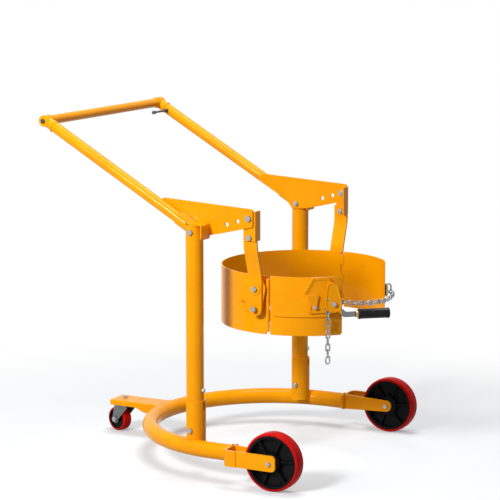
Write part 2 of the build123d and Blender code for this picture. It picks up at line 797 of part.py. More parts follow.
def make_bar():
    """Flat link bar that bends inward below its hanger, with a trunnion boss and a round lower end."""
    half = bar_width / 2
    bottom = lock_pin_z - half
    upper = -(bar_upper_inner + bar_upper_outer) / 2
    lower = -(bar_lower_inner + bar_lower_outer) / 2
    path = FilletPolyline(
        (upper, bar_top), (upper, bar_upper_bend_z), (lower, bar_lower_bend_z), (lower, bottom),
        radius=bar_bend_radius)
    bar = extrude(Plane.YZ.offset(link_x - half) * trace(path, bar_thickness), bar_width)
    web_back = hanger_front_x - hanger_thickness
    notch = hanger_bottom - moving_gap
    outline = make_face(Polyline(
        (link_x - half, lock_pin_z), (link_x + half, lock_pin_z), (link_x + half, notch),
        (web_back, notch), (web_back, bar_top), (link_x - half, bar_top), close=True))
    outline += Pos(link_x, lock_pin_z) * Circle(half)
    inner = min(bar_lower_inner, bar_upper_inner) - cut_margin
    outer = max(bar_lower_outer, bar_upper_outer) + trunnion_boss_thickness + cut_margin
    bar = bar & side_plate(outline, inner, outer)
    boss_face = bar_lower_outer + trunnion_boss_thickness
    bar += round_y(trunnion_boss_radius, bar_lower_outer, boss_face, link_x, trunnion_z)
    bar -= round_y(bolt_hole(frame_bolt), inner, outer, link_x, hanger_bolt_z)
    bar -= round_y(trunnion_radius + running_clearance, inner, outer, link_x, trunnion_z)
    return bar - round_y(lock_pin_radius + running_clearance, inner, outer, link_x, lock_pin_z)


def make_link_pivot():
    """Pivot bolt of a link, fixed in the gusset, with its nut clear of the hanger."""
    head_seat = gusset_outer + running_clearance
    return bolt_and_nut(link_pivot_radius, link_x, link_pivot_z, hanger_inner - moving_gap, head_seat)


def make_lock_pin():
    """Headed pin that slides in the link bar's lower end, drawn back clear of the trunnion plate."""
    head_seat = bar_lower_outer + lock_pin_travel
    pin = round_y(lock_pin_radius, bar_lower_inner, head_seat, link_x, lock_pin_z)
    head = round_y(lock_pin_head_radius, head_seat, head_seat + lock_pin_head_length, link_x, lock_pin_z)
    return pin + chamfer(head.edges().group_by(Axis.Y)[0], lock_pin_chamfer)


def index_hole_point():
    """XZ place of the second index hole, behind the one in use."""
    turn = math.radians(index_angle)
    return (link_x - index_radius * math.sin(turn), trunnion_z - index_radius * math.cos(turn))


def make_trunnion_bracket():
    """Index plate on a pad that is shaped to the shell."""
    hub = Pos(link_x, trunnion_z) * Circle(trunnion_plate_hub)
    ears = [Pos(x, z) * Circle(trunnion_plate_ear) for x, z in ((link_x, lock_pin_z), index_hole_point())]
    outline = hull_of([hub, *ears])
    bracket = side_plate(outline, trunnion_plate_inner, trunnion_plate_outer)
    pad_back = trunnion_pad_front - trunnion_pad_length
    reach = trunnion_plate_inner - math.sqrt(shell_radius ** 2 - pad_back ** 2) + cut_margin
    pad = Box(trunnion_pad_length, reach, trunnion_pad_height)
    pad_middle = (trunnion_pad_front + pad_back) / 2
    pad = Pos(pad_middle, reach / 2 - trunnion_plate_inner, trunnion_z) * pad
    bracket += pad - Pos(0, 0, trunnion_z) * Cylinder(shell_radius, 2 * trunnion_pad_height)
    outside = trunnion_plate_outer + cut_margin
    for x, z in ((link_x, lock_pin_z), index_hole_point()):
        bracket -= round_y(bolt_hole(lock_pin_radius), trunnion_plate_inner - cut_margin, outside, x, z)
    return bracket - round_y(trunnion_radius, trunnion_seat, outside, link_x, trunnion_z)


def make_trunnion():
    """Trunnion bolt through the link bar and its boss, fixed in the saddle's bracket."""
    head_seat = bar_lower_outer + trunnion_boss_thickness + moving_gap
    return side_bolt(trunnion_radius, link_x, trunnion_z, trunnion_seat, head_seat)


def knuckle_spans(first):
    """Z spans of every second knuckle, from the first one given."""
    bottom = band_bottom + hinge_end_notch
    length = (band_height - 2 * hinge_end_notch) / knuckle_count
    spans = []
    for number in range(first, knuckle_count, 2):
        start = bottom + number * length
        spans.append((start + moving_gap / 2, start + length - moving_gap / 2))
    return spans


def hinge_edge_angle(side):
    """Angle of a sheet's edge beside the knuckles, behind (-1) or ahead (1) of the hinge."""
    return hinge_angle + side * math.degrees((knuckle_radius + moving_gap) / hinge_radius)


def with_knuckles(sheet, inner, outer, side, first):
    """Sheet with rolled knuckles and their tabs along its hinge edge."""
    centre = round_point(hinge_radius, hinge_angle, 0)
    tab_start, tab_end = sorted((hinge_angle, hinge_edge_angle(side)))
    for bottom, top in knuckle_spans(first):
        middle = Pos(centre.X, centre.Y, (bottom + top) / 2)
        sheet += band(inner, outer, tab_start, tab_end, bottom, top)
        sheet += middle * Cylinder(knuckle_radius, top - bottom)
    bore = hinge_pin_radius + (running_clearance if side > 0 else 0)
    return sheet - Pos(centre.X, centre.Y, band_bottom + band_height / 2) * Cylinder(bore, band_height)


def make_shell():
    """Rear half of the saddle, with hinge knuckles on both ends."""
    start = hinge_edge_angle(-1)
    half = band(drum_radius, shell_radius, -90, start, band_bottom, band_top)
    half = with_knuckles(half, drum_radius, shell_radius, -1, 0)
    return half + mirrored(half)


def make_hinge_pin():
    """Pin through the knuckles of one flap."""
    centre = round_point(hinge_radius, hinge_angle, 0)
    height = band_height - 2 * hinge_end_notch
    return Pos(centre.X, centre.Y, band_bottom + band_height / 2) * Cylinder(hinge_pin_radius, height)


def make_flap():
    """Front flap of the saddle, rounded at its free corners."""
    flap = band(drum_radius, flap_radius, hinge_edge_angle(1), flap_end_angle, band_bottom, band_top)
    corners = flap.edges().filter_by(GeomType.LINE).filter_by(Axis.Z, reverse=True)
    flap = fillet(corners.group_by(Axis.X)[-1], flap_corner_radius)
    return with_knuckles(flap, drum_radius, flap_radius, 1, 1)


def make_strap():
    """Stiffening strap bent round the outside of a flap."""
    strap_top = strap_bottom + strap_height
    return band(flap_radius, strap_radius, strap_start_angle, strap_end_angle, strap_bottom, strap_top)


def binder_plane(depth):
    """Plane of the chain binder at a distance from the drum axis, with its origin on the binder's axle."""
    turn = math.radians(binder_angle)
    outward = Vector(math.sin(turn), -math.cos(turn), 0)
    along = Vector(math.cos(turn), math.sin(turn), 0)
    origin = outward * depth + along * binder_axle_along + Vector(0, 0, binder_axle_z)
    return Plane(origin=origin, x_dir=along, z_dir=outward)


def binder_plate(outline, back, front):
    """Plate of the chain binder between two distances from the drum axis."""
    return extrude(binder_plane(back) * outline, front - back)


def binder_ear_bolt_point():
    """Place of the bolt in the ear of the binder's base."""
    return (-binder_ear_bolt_behind, -binder_ear_bolt_drop)


def make_binder_base():
    """Bordered plate on the right-hand strap that carries the chain binder, with an ear at its rear."""
    top_end = binder_base_top_width - binder_base_top_behind
    points = [
        (-binder_base_behind, -binder_base_drop), (binder_base_ahead / 2, -binder_base_drop),
        (binder_base_ahead, -binder_base_drop / 2), (binder_base_ahead, -binder_base_ahead_drop),
        (binder_base_neck, binder_base_neck_up), (binder_base_throat, binder_base_throat_up),
        (0, binder_base_rise - binder_base_slant),
        (top_end, binder_base_rise), (-binder_base_top_behind, binder_base_rise),
        (-binder_shoulder_behind, binder_shoulder_up),
        (-binder_base_behind, binder_shoulder_up - binder_shoulder_height)]
    outline = rounded_outline(points, binder_base_corner_radius)
    pocket_floor = binder_base_front - binder_border_depth
    base = binder_plate(outline, binder_base_back, binder_base_front)
    base -= binder_plate(offset(outline, -binder_border_width), pocket_floor, binder_base_front)
    base += binder_plate(Circle(ratchet_root_radius), pocket_floor, binder_base_front)
    base -= binder_plate(Circle(bolt_hole(binder_axle_radius)), binder_base_back, binder_base_front)
    pawl_bore = Pos(pawl_along, pawl_up) * Circle(bolt_hole(pawl_pin_radius))
    base -= binder_plate(pawl_bore, binder_base_back, binder_base_front)
    ear_ends = [
        (-binder_ear_behind, binder_ear_up), (binder_ear_width - binder_ear_behind, binder_ear_up),
        binder_ear_bolt_point()]
    ear = hull_of([Pos(along, up) * Circle(binder_ear_radius) for along, up in ear_ends])
    base += binder_plate(ear, pocket_floor, binder_base_front + binder_ear_thickness)
    bolt_bore = Pos(*binder_ear_bolt_point()) * Circle(binder_ear_bolt)
    base -= binder_plate(bolt_bore, binder_base_front, binder_base_front + binder_ear_thickness)
    return base - Pos(0, 0, binder_axle_z) * Cylinder(strap_radius, 4 * strap_height)


def make_chain_wheel():
    """Chain wheel with its ratchet teeth on the side next to the base."""
    back = binder_base_front + moving_gap
    outline = Circle(ratchet_root_radius)
    step = 360 / ratchet_teeth
    root = ratchet_root_radius - cut_margin
    heel = (root * math.cos(math.radians(step)), root * math.sin(math.radians(step)))
    tooth = make_face(Polyline((root, 0), (ratchet_radius, 0), heel, close=True))
    for number in range(ratchet_teeth):
        outline += Rot(0, 0, step * number) * tooth
    bore = Circle(binder_axle_radius + running_clearance)
    wheel = binder_plate(outline - bore, back, back + ratchet_thickness)
    return wheel + binder_plate(Circle(wheel_hub_radius) - bore, back, binder_wheel_front)


def make_binder_pins():
    """Axle bolt of the chain wheel and the lever, the headed pin of the pawl and the bolt in the ear."""
    foot = binder_base_back + strap_thickness
    axle_seat = lever_back + lever_thickness + moving_gap
    axle_end = axle_seat + head_height_ratio * binder_axle_radius
    axle = binder_plate(Circle(binder_axle_radius), foot, axle_seat)
    axle += binder_plate(hexagon(binder_axle_radius), axle_seat, axle_end)
    pin_place = Pos(pawl_along, pawl_up)
    pin_seat = binder_base_front + 2 * moving_gap + ratchet_thickness
    pin = binder_plate(pin_place * Circle(pawl_pin_radius), foot, pin_seat)
    pin += binder_plate(pin_place * Circle(pawl_pin_head_radius), pin_seat, pin_seat + pawl_pin_head_length)
    ear_place = Pos(*binder_ear_bolt_point())
    ear_seat = binder_base_front + binder_ear_thickness
    ear_end = ear_seat + head_height_ratio * binder_ear_bolt
    ear_bolt = binder_plate(ear_place * Circle(binder_ear_bolt), binder_base_front, ear_seat)
    ear_bolt += binder_plate(ear_place * hexagon(binder_ear_bolt), ear_seat, ear_end)
    return Compound(children=[*axle.solids(), *pin.solids(), *ear_bolt.solids()])


def make_pawl():
    """Holding pawl under the ratchet, with a tail to lift it by."""
    back = binder_base_front + moving_gap
    reach = ratchet_radius + pawl_tip_radius + moving_gap
    turn = math.atan2(pawl_up, pawl_along)
    tip = Pos(reach * math.cos(turn), reach * math.sin(turn)) * Circle(pawl_tip_radius)
    eye = Pos(pawl_along, pawl_up) * Circle(pawl_eye_radius)
    tail_root = Pos(pawl_along, pawl_up) * Circle(pawl_tail_radius)
    tail_end = Pos(pawl_along + pawl_tail_along, pawl_up - pawl_tail_drop) * Circle(pawl_tail_radius)
    outline = hull_of([eye, tip]) + hull_of([tail_root, tail_end])
    outline -= Pos(pawl_along, pawl_up) * Circle(pawl_pin_radius + running_clearance)
    return binder_plate(outline, back, back + ratchet_thickness)


def make_lever_plate():
    """Egg-shaped lever head with a raised rim, and a flat bar that runs into the grip."""
    head = hull_of([
        Circle(lever_head_radius), Pos(lever_lobe_along, lever_lobe_up) * Circle(lever_lobe_radius)])
    half = lever_bar_width / 2
    tang_end = grip_start_along + grip_length / 2
    low = -lever_drop - half
    high = -lever_drop + half
    bar = make_face(Polyline(
        (0, -half), (lever_bend_along, low), (tang_end, low), (tang_end, high),
        (lever_bend_along + half, high), (half, 0), close=True))
    outline = head + bar
    outline -= Circle(binder_axle_radius + running_clearance)
    outline -= Pos(lever_hole_along, lever_hole_up) * Circle(small_bolt)
    lever_front = lever_back + lever_thickness
    plate = binder_plate(outline, lever_back, lever_front)
    return plate - binder_plate(offset(head, -lever_rim_width), lever_front - lever_rim_depth, lever_front)


def lever_grip_rod(radius, start, length):
    """Round piece along the lever's grip."""
    plane = binder_plane(lever_back + lever_thickness / 2)
    return plane * Pos(start + length / 2, -lever_drop, 0) * Rot(0, 90, 0) * Cylinder(radius, length)


def make_grip():
    """Round grip on the end of the lever, slotted for its flat bar."""
    grip = lever_grip_rod(grip_radius, grip_start_along, grip_length)
    grip = fillet(grip.edges().filter_by(GeomType.CIRCLE), grip_edge_radius)
    return grip - make_lever_plate()


def make_ferrule():
    """Ferrule on the lever's bar where the grip starts."""
    ferrule = lever_grip_rod(ferrule_radius, grip_start_along - ferrule_length, ferrule_length)
    return ferrule - make_lever_plate()


def hook_shelf_top():
    """Level of the hook's shelf, just under the last link as it slopes down from the peg."""
    joints = run_joints()
    drop = joints[-1] - joints[-2]
    slope = abs(drop.Z) / math.hypot(drop.X, drop.Y)
    link_underside = hook_z - chain_wire / 2 * math.hypot(1, slope)
    return link_underside - slope * (hook_shelf_width / 2 + peg_offset) - chain_play


def make_hook():
    """Curved plate on the left-hand strap, with a shelf and a hooked peg that takes the last chain link."""
    plate_front = strap_radius + hook_plate_thickness
    plate_bottom = hook_z - hook_plate_height / 2
    plate = band(strap_radius, plate_front, hook_plate_start_angle, flap_end_angle,
                 plate_bottom, plate_bottom + hook_plate_height)
    shelf_top = hook_shelf_top()
    shelf_bottom = shelf_top - hook_plate_thickness
    shelf_start = plate_front - cut_margin
    shelf_length = hook_peg_place + hook_shelf_width / 2 - shelf_start
    shelf_middle = round_point(shelf_start + shelf_length / 2, hook_angle, (shelf_top + shelf_bottom) / 2)
    shelf = Rot(0, 0, hook_angle) * Box(hook_shelf_width, shelf_length, hook_plate_thickness)
    shelf = Pos(*shelf_middle) * fillet(shelf.edges().filter_by(Axis.Z), hook_plate_thickness / 2)
    return mirrored(plate + shelf + make_hook_peg(shelf_bottom))


def make_hook_peg(bottom):
    """Round peg of the hook, curled back over the flap at its top."""
    peg_top = hook_z + hook_peg_height
    curl = []
    for turn in (0, hook_curl_angle / 2, hook_curl_angle):
        place = hook_peg_place - hook_curl_radius * (1 - math.cos(math.radians(turn)))
        curl.append(round_point(place, hook_angle, peg_top + hook_curl_radius * math.sin(math.radians(turn))))
    path = Line(round_point(hook_peg_place, hook_angle, bottom), curl[0]) + ThreePointArc(*curl)
    peg = sweep(Plane(origin=path @ 0, z_dir=path % 0) * Circle(hook_peg_radius), path=path)
    return peg + Pos(*curl[-1]) * Sphere(hook_peg_radius)


def binder_point(along, up):
    """Point on the chain's plane of the binder, from the binder's axle."""
    plane = binder_plane(chain_depth)
    return plane.origin + plane.x_dir * along + plane.y_dir * up


def wrap_point(turn):
    """Joint between two links on the chain wheel at an angle round its axle."""
    radius = math.hypot(wheel_hub_radius + chain_link_width / 2 + moving_gap, chain_pitch / 2)
    return binder_point(radius * math.cos(math.radians(turn)), radius * math.sin(math.radians(turn)))


def wrap_step():
    """Angle that one link takes on the chain wheel."""
    middle = wheel_hub_radius + chain_link_width / 2 + moving_gap
    return 2 * math.degrees(math.atan2(chain_pitch / 2, middle))


def run_path(sag):
    """Close points along the chain from its wheel to the flap's edge and on round the drum to the hook."""
    edge_radius = flap_radius + chain_link_width / 2 + chain_edge_gap
    start = wrap_point(chain_wrap_start)
    edge = round_point(edge_radius, flap_end_angle, chain_edge_z)
    end_angle = 180 - hook_angle + math.degrees(peg_offset / hook_peg_place)
    shares = [number / chain_path_steps for number in range(chain_path_steps + 1)]
    points = [start + (edge - start) * share for share in shares[:-1]]
    for share in shares:
        radius = edge_radius + (hook_peg_place - edge_radius) * share ** 2
        angle = flap_end_angle + (end_angle - flap_end_angle) * share
        z = chain_edge_z + (hook_z - chain_edge_z) * share - 4 * sag * share * (1 - share)
        points.append(round_point(radius, angle, z))
    return points


def path_length(points):
    """Length of a line through points."""
    return sum((after - before).length for before, after in zip(points, points[1:]))


def run_joints():
    """Joints between the links of the chain's run, which sags as far as its whole links let it."""
    count = math.ceil(path_length(run_path(0)) / chain_pitch)
    low = 0.0
    high = count * chain_pitch
    while high - low > sag_precision:
        sag = (low + high) / 2
        if path_length(run_path(sag)) < count * chain_pitch:
            low = sag
        else:
            high = sag
    points = run_path(low)
    joints = [points[0]]
    walked = 0.0
    for before, after in zip(points, points[1:]):
        step = (after - before).length
        target = len(joints) * chain_pitch
        if len(joints) < count and walked + step >= target:
            joints.append(before + (after - before) * ((target - walked) / step))
        walked += step
    return [*joints, points[-1]]


def make_link():
    """One welded chain link, flat and lying along X."""
    centre_width = chain_link_width - chain_wire
    spread = chain_pitch + chain_play + chain_wire - centre_width
    path = SlotCenterToCenter(spread, centre_width).wire()
    return sweep(Plane(origin=path @ 0, z_dir=path % 0) * Circle(chain_wire / 2), path=path)


def hang_links(joints, sideways, first_flat):
    """Chain links between joints, turned a quarter from one to the next."""
    link = make_link()
    links = []
    flat = first_flat
    for before, after in zip(joints, joints[1:]):
        along = (after - before).normalized()
        across = sideways(along)
        normal = along.cross(across) if flat else across
        links += (Plane(origin=(before + after) / 2, x_dir=along, z_dir=normal).location * link).solids()
        flat = not flat
    return links


def binder_sideways(along):
    """Direction along the chain wheel's axle."""
    return binder_plane(0).z_dir


def level_sideways(along):
    """Level direction square to a stretch of chain."""
    return along.cross(Vector(0, 0, 1)).normalized()


def wheel_joints():
    """Joints between the links that lie on the chain wheel, from the run to the loose end."""
    return [wrap_point(chain_wrap_start + number * wrap_step()) for number in range(chain_wheel_links + 1)]


def make_chain_run():
    """Links from the hook to the chain wheel and round it."""
    joints = run_joints()
    wheel_starts_flat = len(joints) % 2 == 1
    links = hang_links(joints[::-1], level_sideways, True)
    links += hang_links(wheel_joints(), binder_sideways, wheel_starts_flat)
    return Compound(children=links)


def make_chain_tail():
    """Loose end of the chain."""
    top = wheel_joints()[-1]
    joints = [top - Vector(0, 0, number * chain_pitch) for number in range(chain_tail_links + 1)]
    starts_flat = (len(run_joints()) + chain_wheel_links) % 2 == 1
    return Compound(children=hang_links(joints, binder_sideways, starts_flat))


def make_post_bolts():
    """Bolts and nuts at the foot and the head of a post."""
    socket_outside = post_radius + socket_clearance + socket_wall
    foot = bolt_and_nut(frame_bolt, post_x, socket_bolt_z, post_y - socket_outside, post_y + socket_outside)
    head = bolt_and_nut(frame_bolt, post_x, pivot_z, gusset_inner, hood_outer)
    return Compound(children=[*foot.solids(), *head.solids()])


def make_hanger_bolt():
    """Bolt and nut that join a hanger to its link bar."""
    return bolt_and_nut(frame_bolt, link_x, hanger_bolt_z, bar_upper_inner, hanger_outer)


def make_base_tube():
    """Bent tube that the whole truck stands on."""
    return base_rod(tube_radius) - base_rod(tube_radius - tube_wall)


handed_pieces = {
    "wheel_fork": make_fork,
    "wheel_tyre": make_tyre,
    "wheel_hub": make_hub,
    "wheel_bearings": make_wheel_bearings,
    "post_socket": make_socket,
    "post": make_post,
    "handle_arm": make_arm,
    "gusset_plate": make_gusset,
    "hood_bracket": make_hood,
    "hanger": make_hanger,
    "link_bar": make_bar,
    "lock_pin": make_lock_pin,
    "trunnion_bracket": make_trunnion_bracket,
    "flap": make_flap,
    "flap_strap": make_strap,
}

paired_pieces = {
    "wheel_axles": make_wheel_axle,
    "handle_bosses": make_boss,
    "crossbar_bolts": make_crossbar_bolt,
    "post_bolts": make_post_bolts,
    "post_screws": make_post_screw,
    "link_pivot_bolts": make_link_pivot,
    "hanger_bolts": make_hanger_bolt,
    "trunnion_studs": make_trunnion,
    "flap_hinge_pins": make_hinge_pin,
}

single_pieces = {
    "base_tube": make_base_tube,
    "caster_channel": make_caster_channel,
    "caster_kingpin": make_kingpin,
    "caster_race": make_swivel_race,
    "caster_fork": make_caster_fork,
    "caster_axle": make_caster_axle,
    "caster_tyre": make_caster_tyre,
    "caster_hub": make_caster_hub,
    "handle_crossbar": make_crossbar,
    "stow_pin": make_stow_pin,
    "saddle_shell": make_shell,
    "binder_base": make_binder_base,
    "chain_wheel": make_chain_wheel,
    "binder_pins": make_binder_pins,
    "pawl": make_pawl,
    "lever_plate": make_lever_plate,
    "lever_grip": make_grip,
    "lever_ferrule": make_ferrule,
    "chain_hook": make_hook,
    "chain_run": make_chain_run,
    "chain_tail": make_chain_tail,
}


def make_nodes():
    """Every node of the part by name."""
    nodes = {}
    for name, make in handed_pieces.items():
        nodes["right_" + name] = make()
        nodes["left_" + name] = mirrored(nodes["right_" + name])
    for name, make in paired_pieces.items():
        nodes[name] = pair(make())
    for name, make in single_pieces.items():
        nodes[name] = make()
    return nodes


def write_parts():
    """Makes every piece, stands the part on its own middle and writes one file for each node."""
    os.makedirs("parts", exist_ok=True)
    nodes = make_nodes()
    boxes = [shape.bounding_box() for shape in nodes.values()]
    middle_x = (min(box.min.X for box in boxes) + max(box.max.X for box in boxes)) / 2
    for name, shape in nodes.items():
        export_step(Pos(-middle_x, 0, 0) * shape, f"parts/{name}.step")
    print("drum axis at X =", -middle_x)


write_parts()
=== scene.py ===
"""Looks of a drum carrier with a tilting saddle.

Finishes its CAD pieces, makes its treads, grip and weld beads, and sets the stage.
"""

import json
import math

import bmesh
import bpy
from mathutils import Matrix, Vector


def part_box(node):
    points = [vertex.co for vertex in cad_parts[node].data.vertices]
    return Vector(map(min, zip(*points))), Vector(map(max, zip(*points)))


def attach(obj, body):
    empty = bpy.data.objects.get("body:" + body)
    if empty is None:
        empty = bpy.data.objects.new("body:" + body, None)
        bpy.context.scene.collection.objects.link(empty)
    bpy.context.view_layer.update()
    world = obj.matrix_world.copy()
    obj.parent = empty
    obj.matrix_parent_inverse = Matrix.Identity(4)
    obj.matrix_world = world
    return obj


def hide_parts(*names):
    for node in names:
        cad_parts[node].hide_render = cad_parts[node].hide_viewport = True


bl_info = {
    "name": "Drum carrier looks",
    "version": (1, 0, 0),
    "blender": (4, 5, 0),
    "location": "3D View > Sidebar > Drum carrier",
    "description": "Finishes the pieces of a drum carrier and sets its stage",
    "category": "Object",
}

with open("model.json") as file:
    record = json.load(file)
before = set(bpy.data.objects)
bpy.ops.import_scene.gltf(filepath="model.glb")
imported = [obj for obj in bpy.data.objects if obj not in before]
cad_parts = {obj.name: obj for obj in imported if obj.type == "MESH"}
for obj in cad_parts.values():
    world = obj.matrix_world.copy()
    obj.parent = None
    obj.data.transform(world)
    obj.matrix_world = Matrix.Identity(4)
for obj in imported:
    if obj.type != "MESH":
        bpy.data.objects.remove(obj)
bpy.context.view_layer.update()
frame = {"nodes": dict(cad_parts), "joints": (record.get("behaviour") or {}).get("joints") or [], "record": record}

SIDES = ("right", "left")
HUBS = ("right_wheel_hub", "left_wheel_hub", "caster_hub")
CHAINS = ("chain_run", "chain_tail")
DARK_PINS = ("stow_pin", "crossbar_bolts")
GREY_PRESSINGS = ("caster_fork", "caster_race")
TURNS = {"right_wheel": "right_wheel_spin", "left_wheel": "left_wheel_spin", "caster": "caster_wheel_spin"}

WHITE = (1, 1, 1, 1)
RING_TOLERANCE = 0.0001
MERGE_DISTANCE = 0.00001
SHARP_ANGLE = math.radians(40)
HEX_FLAT_SHARE = math.cos(math.radians(30))
TREAD_STEPS = 128
GRIP_STEPS = 48
ROUNDING_STEPS = 6
BEAD_SIDES = 8
FLOOR_SIDES = 96

# How like the rounded normal is to the flat one, from where an edge counts fully to where it stops.
NEAR_EDGE_LIKENESS = (0.95, 0.995)
ON_EDGE_LIKENESS = (0.6, 0.93)

# A Mix node has a set of sockets for each kind of value, with the same names, so they go by number.
VECTOR_A, VECTOR_B, VECTOR_RESULT = 4, 5, 1
COLOUR_A, COLOUR_B, COLOUR_RESULT = 6, 7, 2


def slot_nodes(slot):
    """CAD nodes that the record gives to one material slot."""
    return [part["node"] for part in frame["record"]["subparts"] if part["material_slot"] == slot]


class PaintSettings(bpy.types.PropertyGroup):
    """Gloss paint on the frame, the saddle and its plates"""

    colour: bpy.props.FloatVectorProperty(
        name="Colour", description="Main colour of the paint", subtype="COLOR", size=4, min=0, max=1,
        default=(0.95, 0.375, 0.001, 1))
    deep: bpy.props.FloatVectorProperty(
        name="Deep colour", description="Colour where the paint lies thicker", subtype="COLOR", size=4,
        min=0, max=1, default=(0.88, 0.31, 0.001, 1))
    worn: bpy.props.FloatVectorProperty(
        name="Edge colour", description="Colour where the paint thins at an edge", subtype="COLOR", size=4,
        min=0, max=1, default=(1, 0.48, 0.04, 1))
    roughness: bpy.props.FloatVectorProperty(
        name="Roughness", description="Least and greatest roughness of the paint", size=2, min=0, max=1,
        default=(0.08, 0.22))
    peel: bpy.props.FloatProperty(
        name="Orange peel", description="Width of the ripples in the paint", unit="LENGTH", min=0.0005,
        default=0.004)
    peel_depth: bpy.props.FloatProperty(
        name="Peel depth", description="Depth of the ripples in the paint", unit="LENGTH", min=0,
        default=0.0006)
    peel_strength: bpy.props.FloatProperty(
        name="Peel strength", description="How clearly the ripples show", subtype="FACTOR", min=0, max=1,
        default=0.007)
    edge: bpy.props.FloatProperty(
        name="Edge width", description="Width over which an edge is rounded and thinly painted",
        unit="LENGTH", min=0.0002, default=0.0016)
    cloud: bpy.props.FloatProperty(
        name="Cloud size", description="Width of the patches where the paint lies thicker", unit="LENGTH",
        min=0.01, default=0.14)
    run: bpy.props.FloatProperty(
        name="Run size", description="Width of the runs in the paint", unit="LENGTH", min=0.005,
        default=0.03)
    rub: bpy.props.FloatProperty(
        name="Rub size", description="Width of the rubbed spots along an edge", unit="LENGTH", min=0.002,
        default=0.012)
    shine: bpy.props.FloatProperty(
        name="Shine", description="Strength of the reflections in the paint", subtype="FACTOR", min=0,
        max=1, default=0.09)


class WheelSettings(bpy.types.PropertyGroup):
    """Treads and hubs"""

    tread: bpy.props.FloatVectorProperty(
        name="Tread colour", description="Colour of the cast treads", subtype="COLOR", size=4, min=0, max=1,
        default=(0.58, 0.008, 0.006, 1))
    dusty: bpy.props.FloatVectorProperty(
        name="Dusty tread colour", description="Colour of a tread where it is scuffed", subtype="COLOR",
        size=4, min=0, max=1, default=(0.46, 0.011, 0.009, 1))
    hub: bpy.props.FloatVectorProperty(
        name="Hub colour", description="Colour of the moulded hubs", subtype="COLOR", size=4, min=0, max=1,
        default=(0.004, 0.004, 0.0045, 1))
    hub_faded: bpy.props.FloatVectorProperty(
        name="Faded hub colour", description="Colour of the hubs where they look dry", subtype="COLOR",
        size=4, min=0, max=1, default=(0.009, 0.009, 0.0095, 1))
    shoulder: bpy.props.FloatProperty(
        name="Tread shoulder", description="Rounding between a tread and its sides", unit="LENGTH",
        min=0.001, default=0.006)
    crown: bpy.props.FloatProperty(
        name="Tread crown", description="How far a tread stands proud in the middle", unit="LENGTH", min=0,
        default=0.0008)
    grain: bpy.props.FloatProperty(
        name="Moulded grain", description="Width of the grain on the moulded hubs", unit="LENGTH",
        min=0.0002, default=0.0009)
    grain_depth: bpy.props.FloatProperty(
        name="Grain depth", description="Depth of the grain on the moulded hubs", unit="LENGTH", min=0,
        default=0.0003)
    grain_strength: bpy.props.FloatProperty(
        name="Grain strength", description="How clearly the grain shows", subtype="FACTOR", min=0, max=1,
        default=0.15)
    bloom: bpy.props.FloatProperty(
        name="Bloom size", description="Width of the dull patches on treads and hubs", unit="LENGTH",
        min=0.005, default=0.03)
    scuff: bpy.props.FloatProperty(
        name="Scuff size", description="Width of the scuffs on the treads", unit="LENGTH", min=0.001,
        default=0.003)
    scuff_depth: bpy.props.FloatProperty(
        name="Scuff depth", description="Depth of the scuffs on the treads", unit="LENGTH", min=0,
        default=0.0004)
    scuff_strength: bpy.props.FloatProperty(
        name="Scuff strength", description="How clearly the scuffs show", subtype="FACTOR", min=0, max=1,
        default=0.015)
    tread_roughness: bpy.props.FloatVectorProperty(
        name="Tread roughness", description="Least and greatest roughness of the treads", size=2, min=0,
        max=1, default=(0.2, 0.32))
    tread_shine: bpy.props.FloatProperty(
        name="Tread shine", description="Strength of the reflections in the treads", subtype="FACTOR",
        min=0, max=1, default=0.02)
    hub_roughness: bpy.props.FloatVectorProperty(
        name="Hub roughness", description="Least and greatest roughness of the hubs", size=2, min=0, max=1,
        default=(0.3, 0.46))
    hub_shine: bpy.props.FloatProperty(
        name="Hub shine", description="Strength of the reflections in the hubs", subtype="FACTOR", min=0,
        max=1, default=0.06)


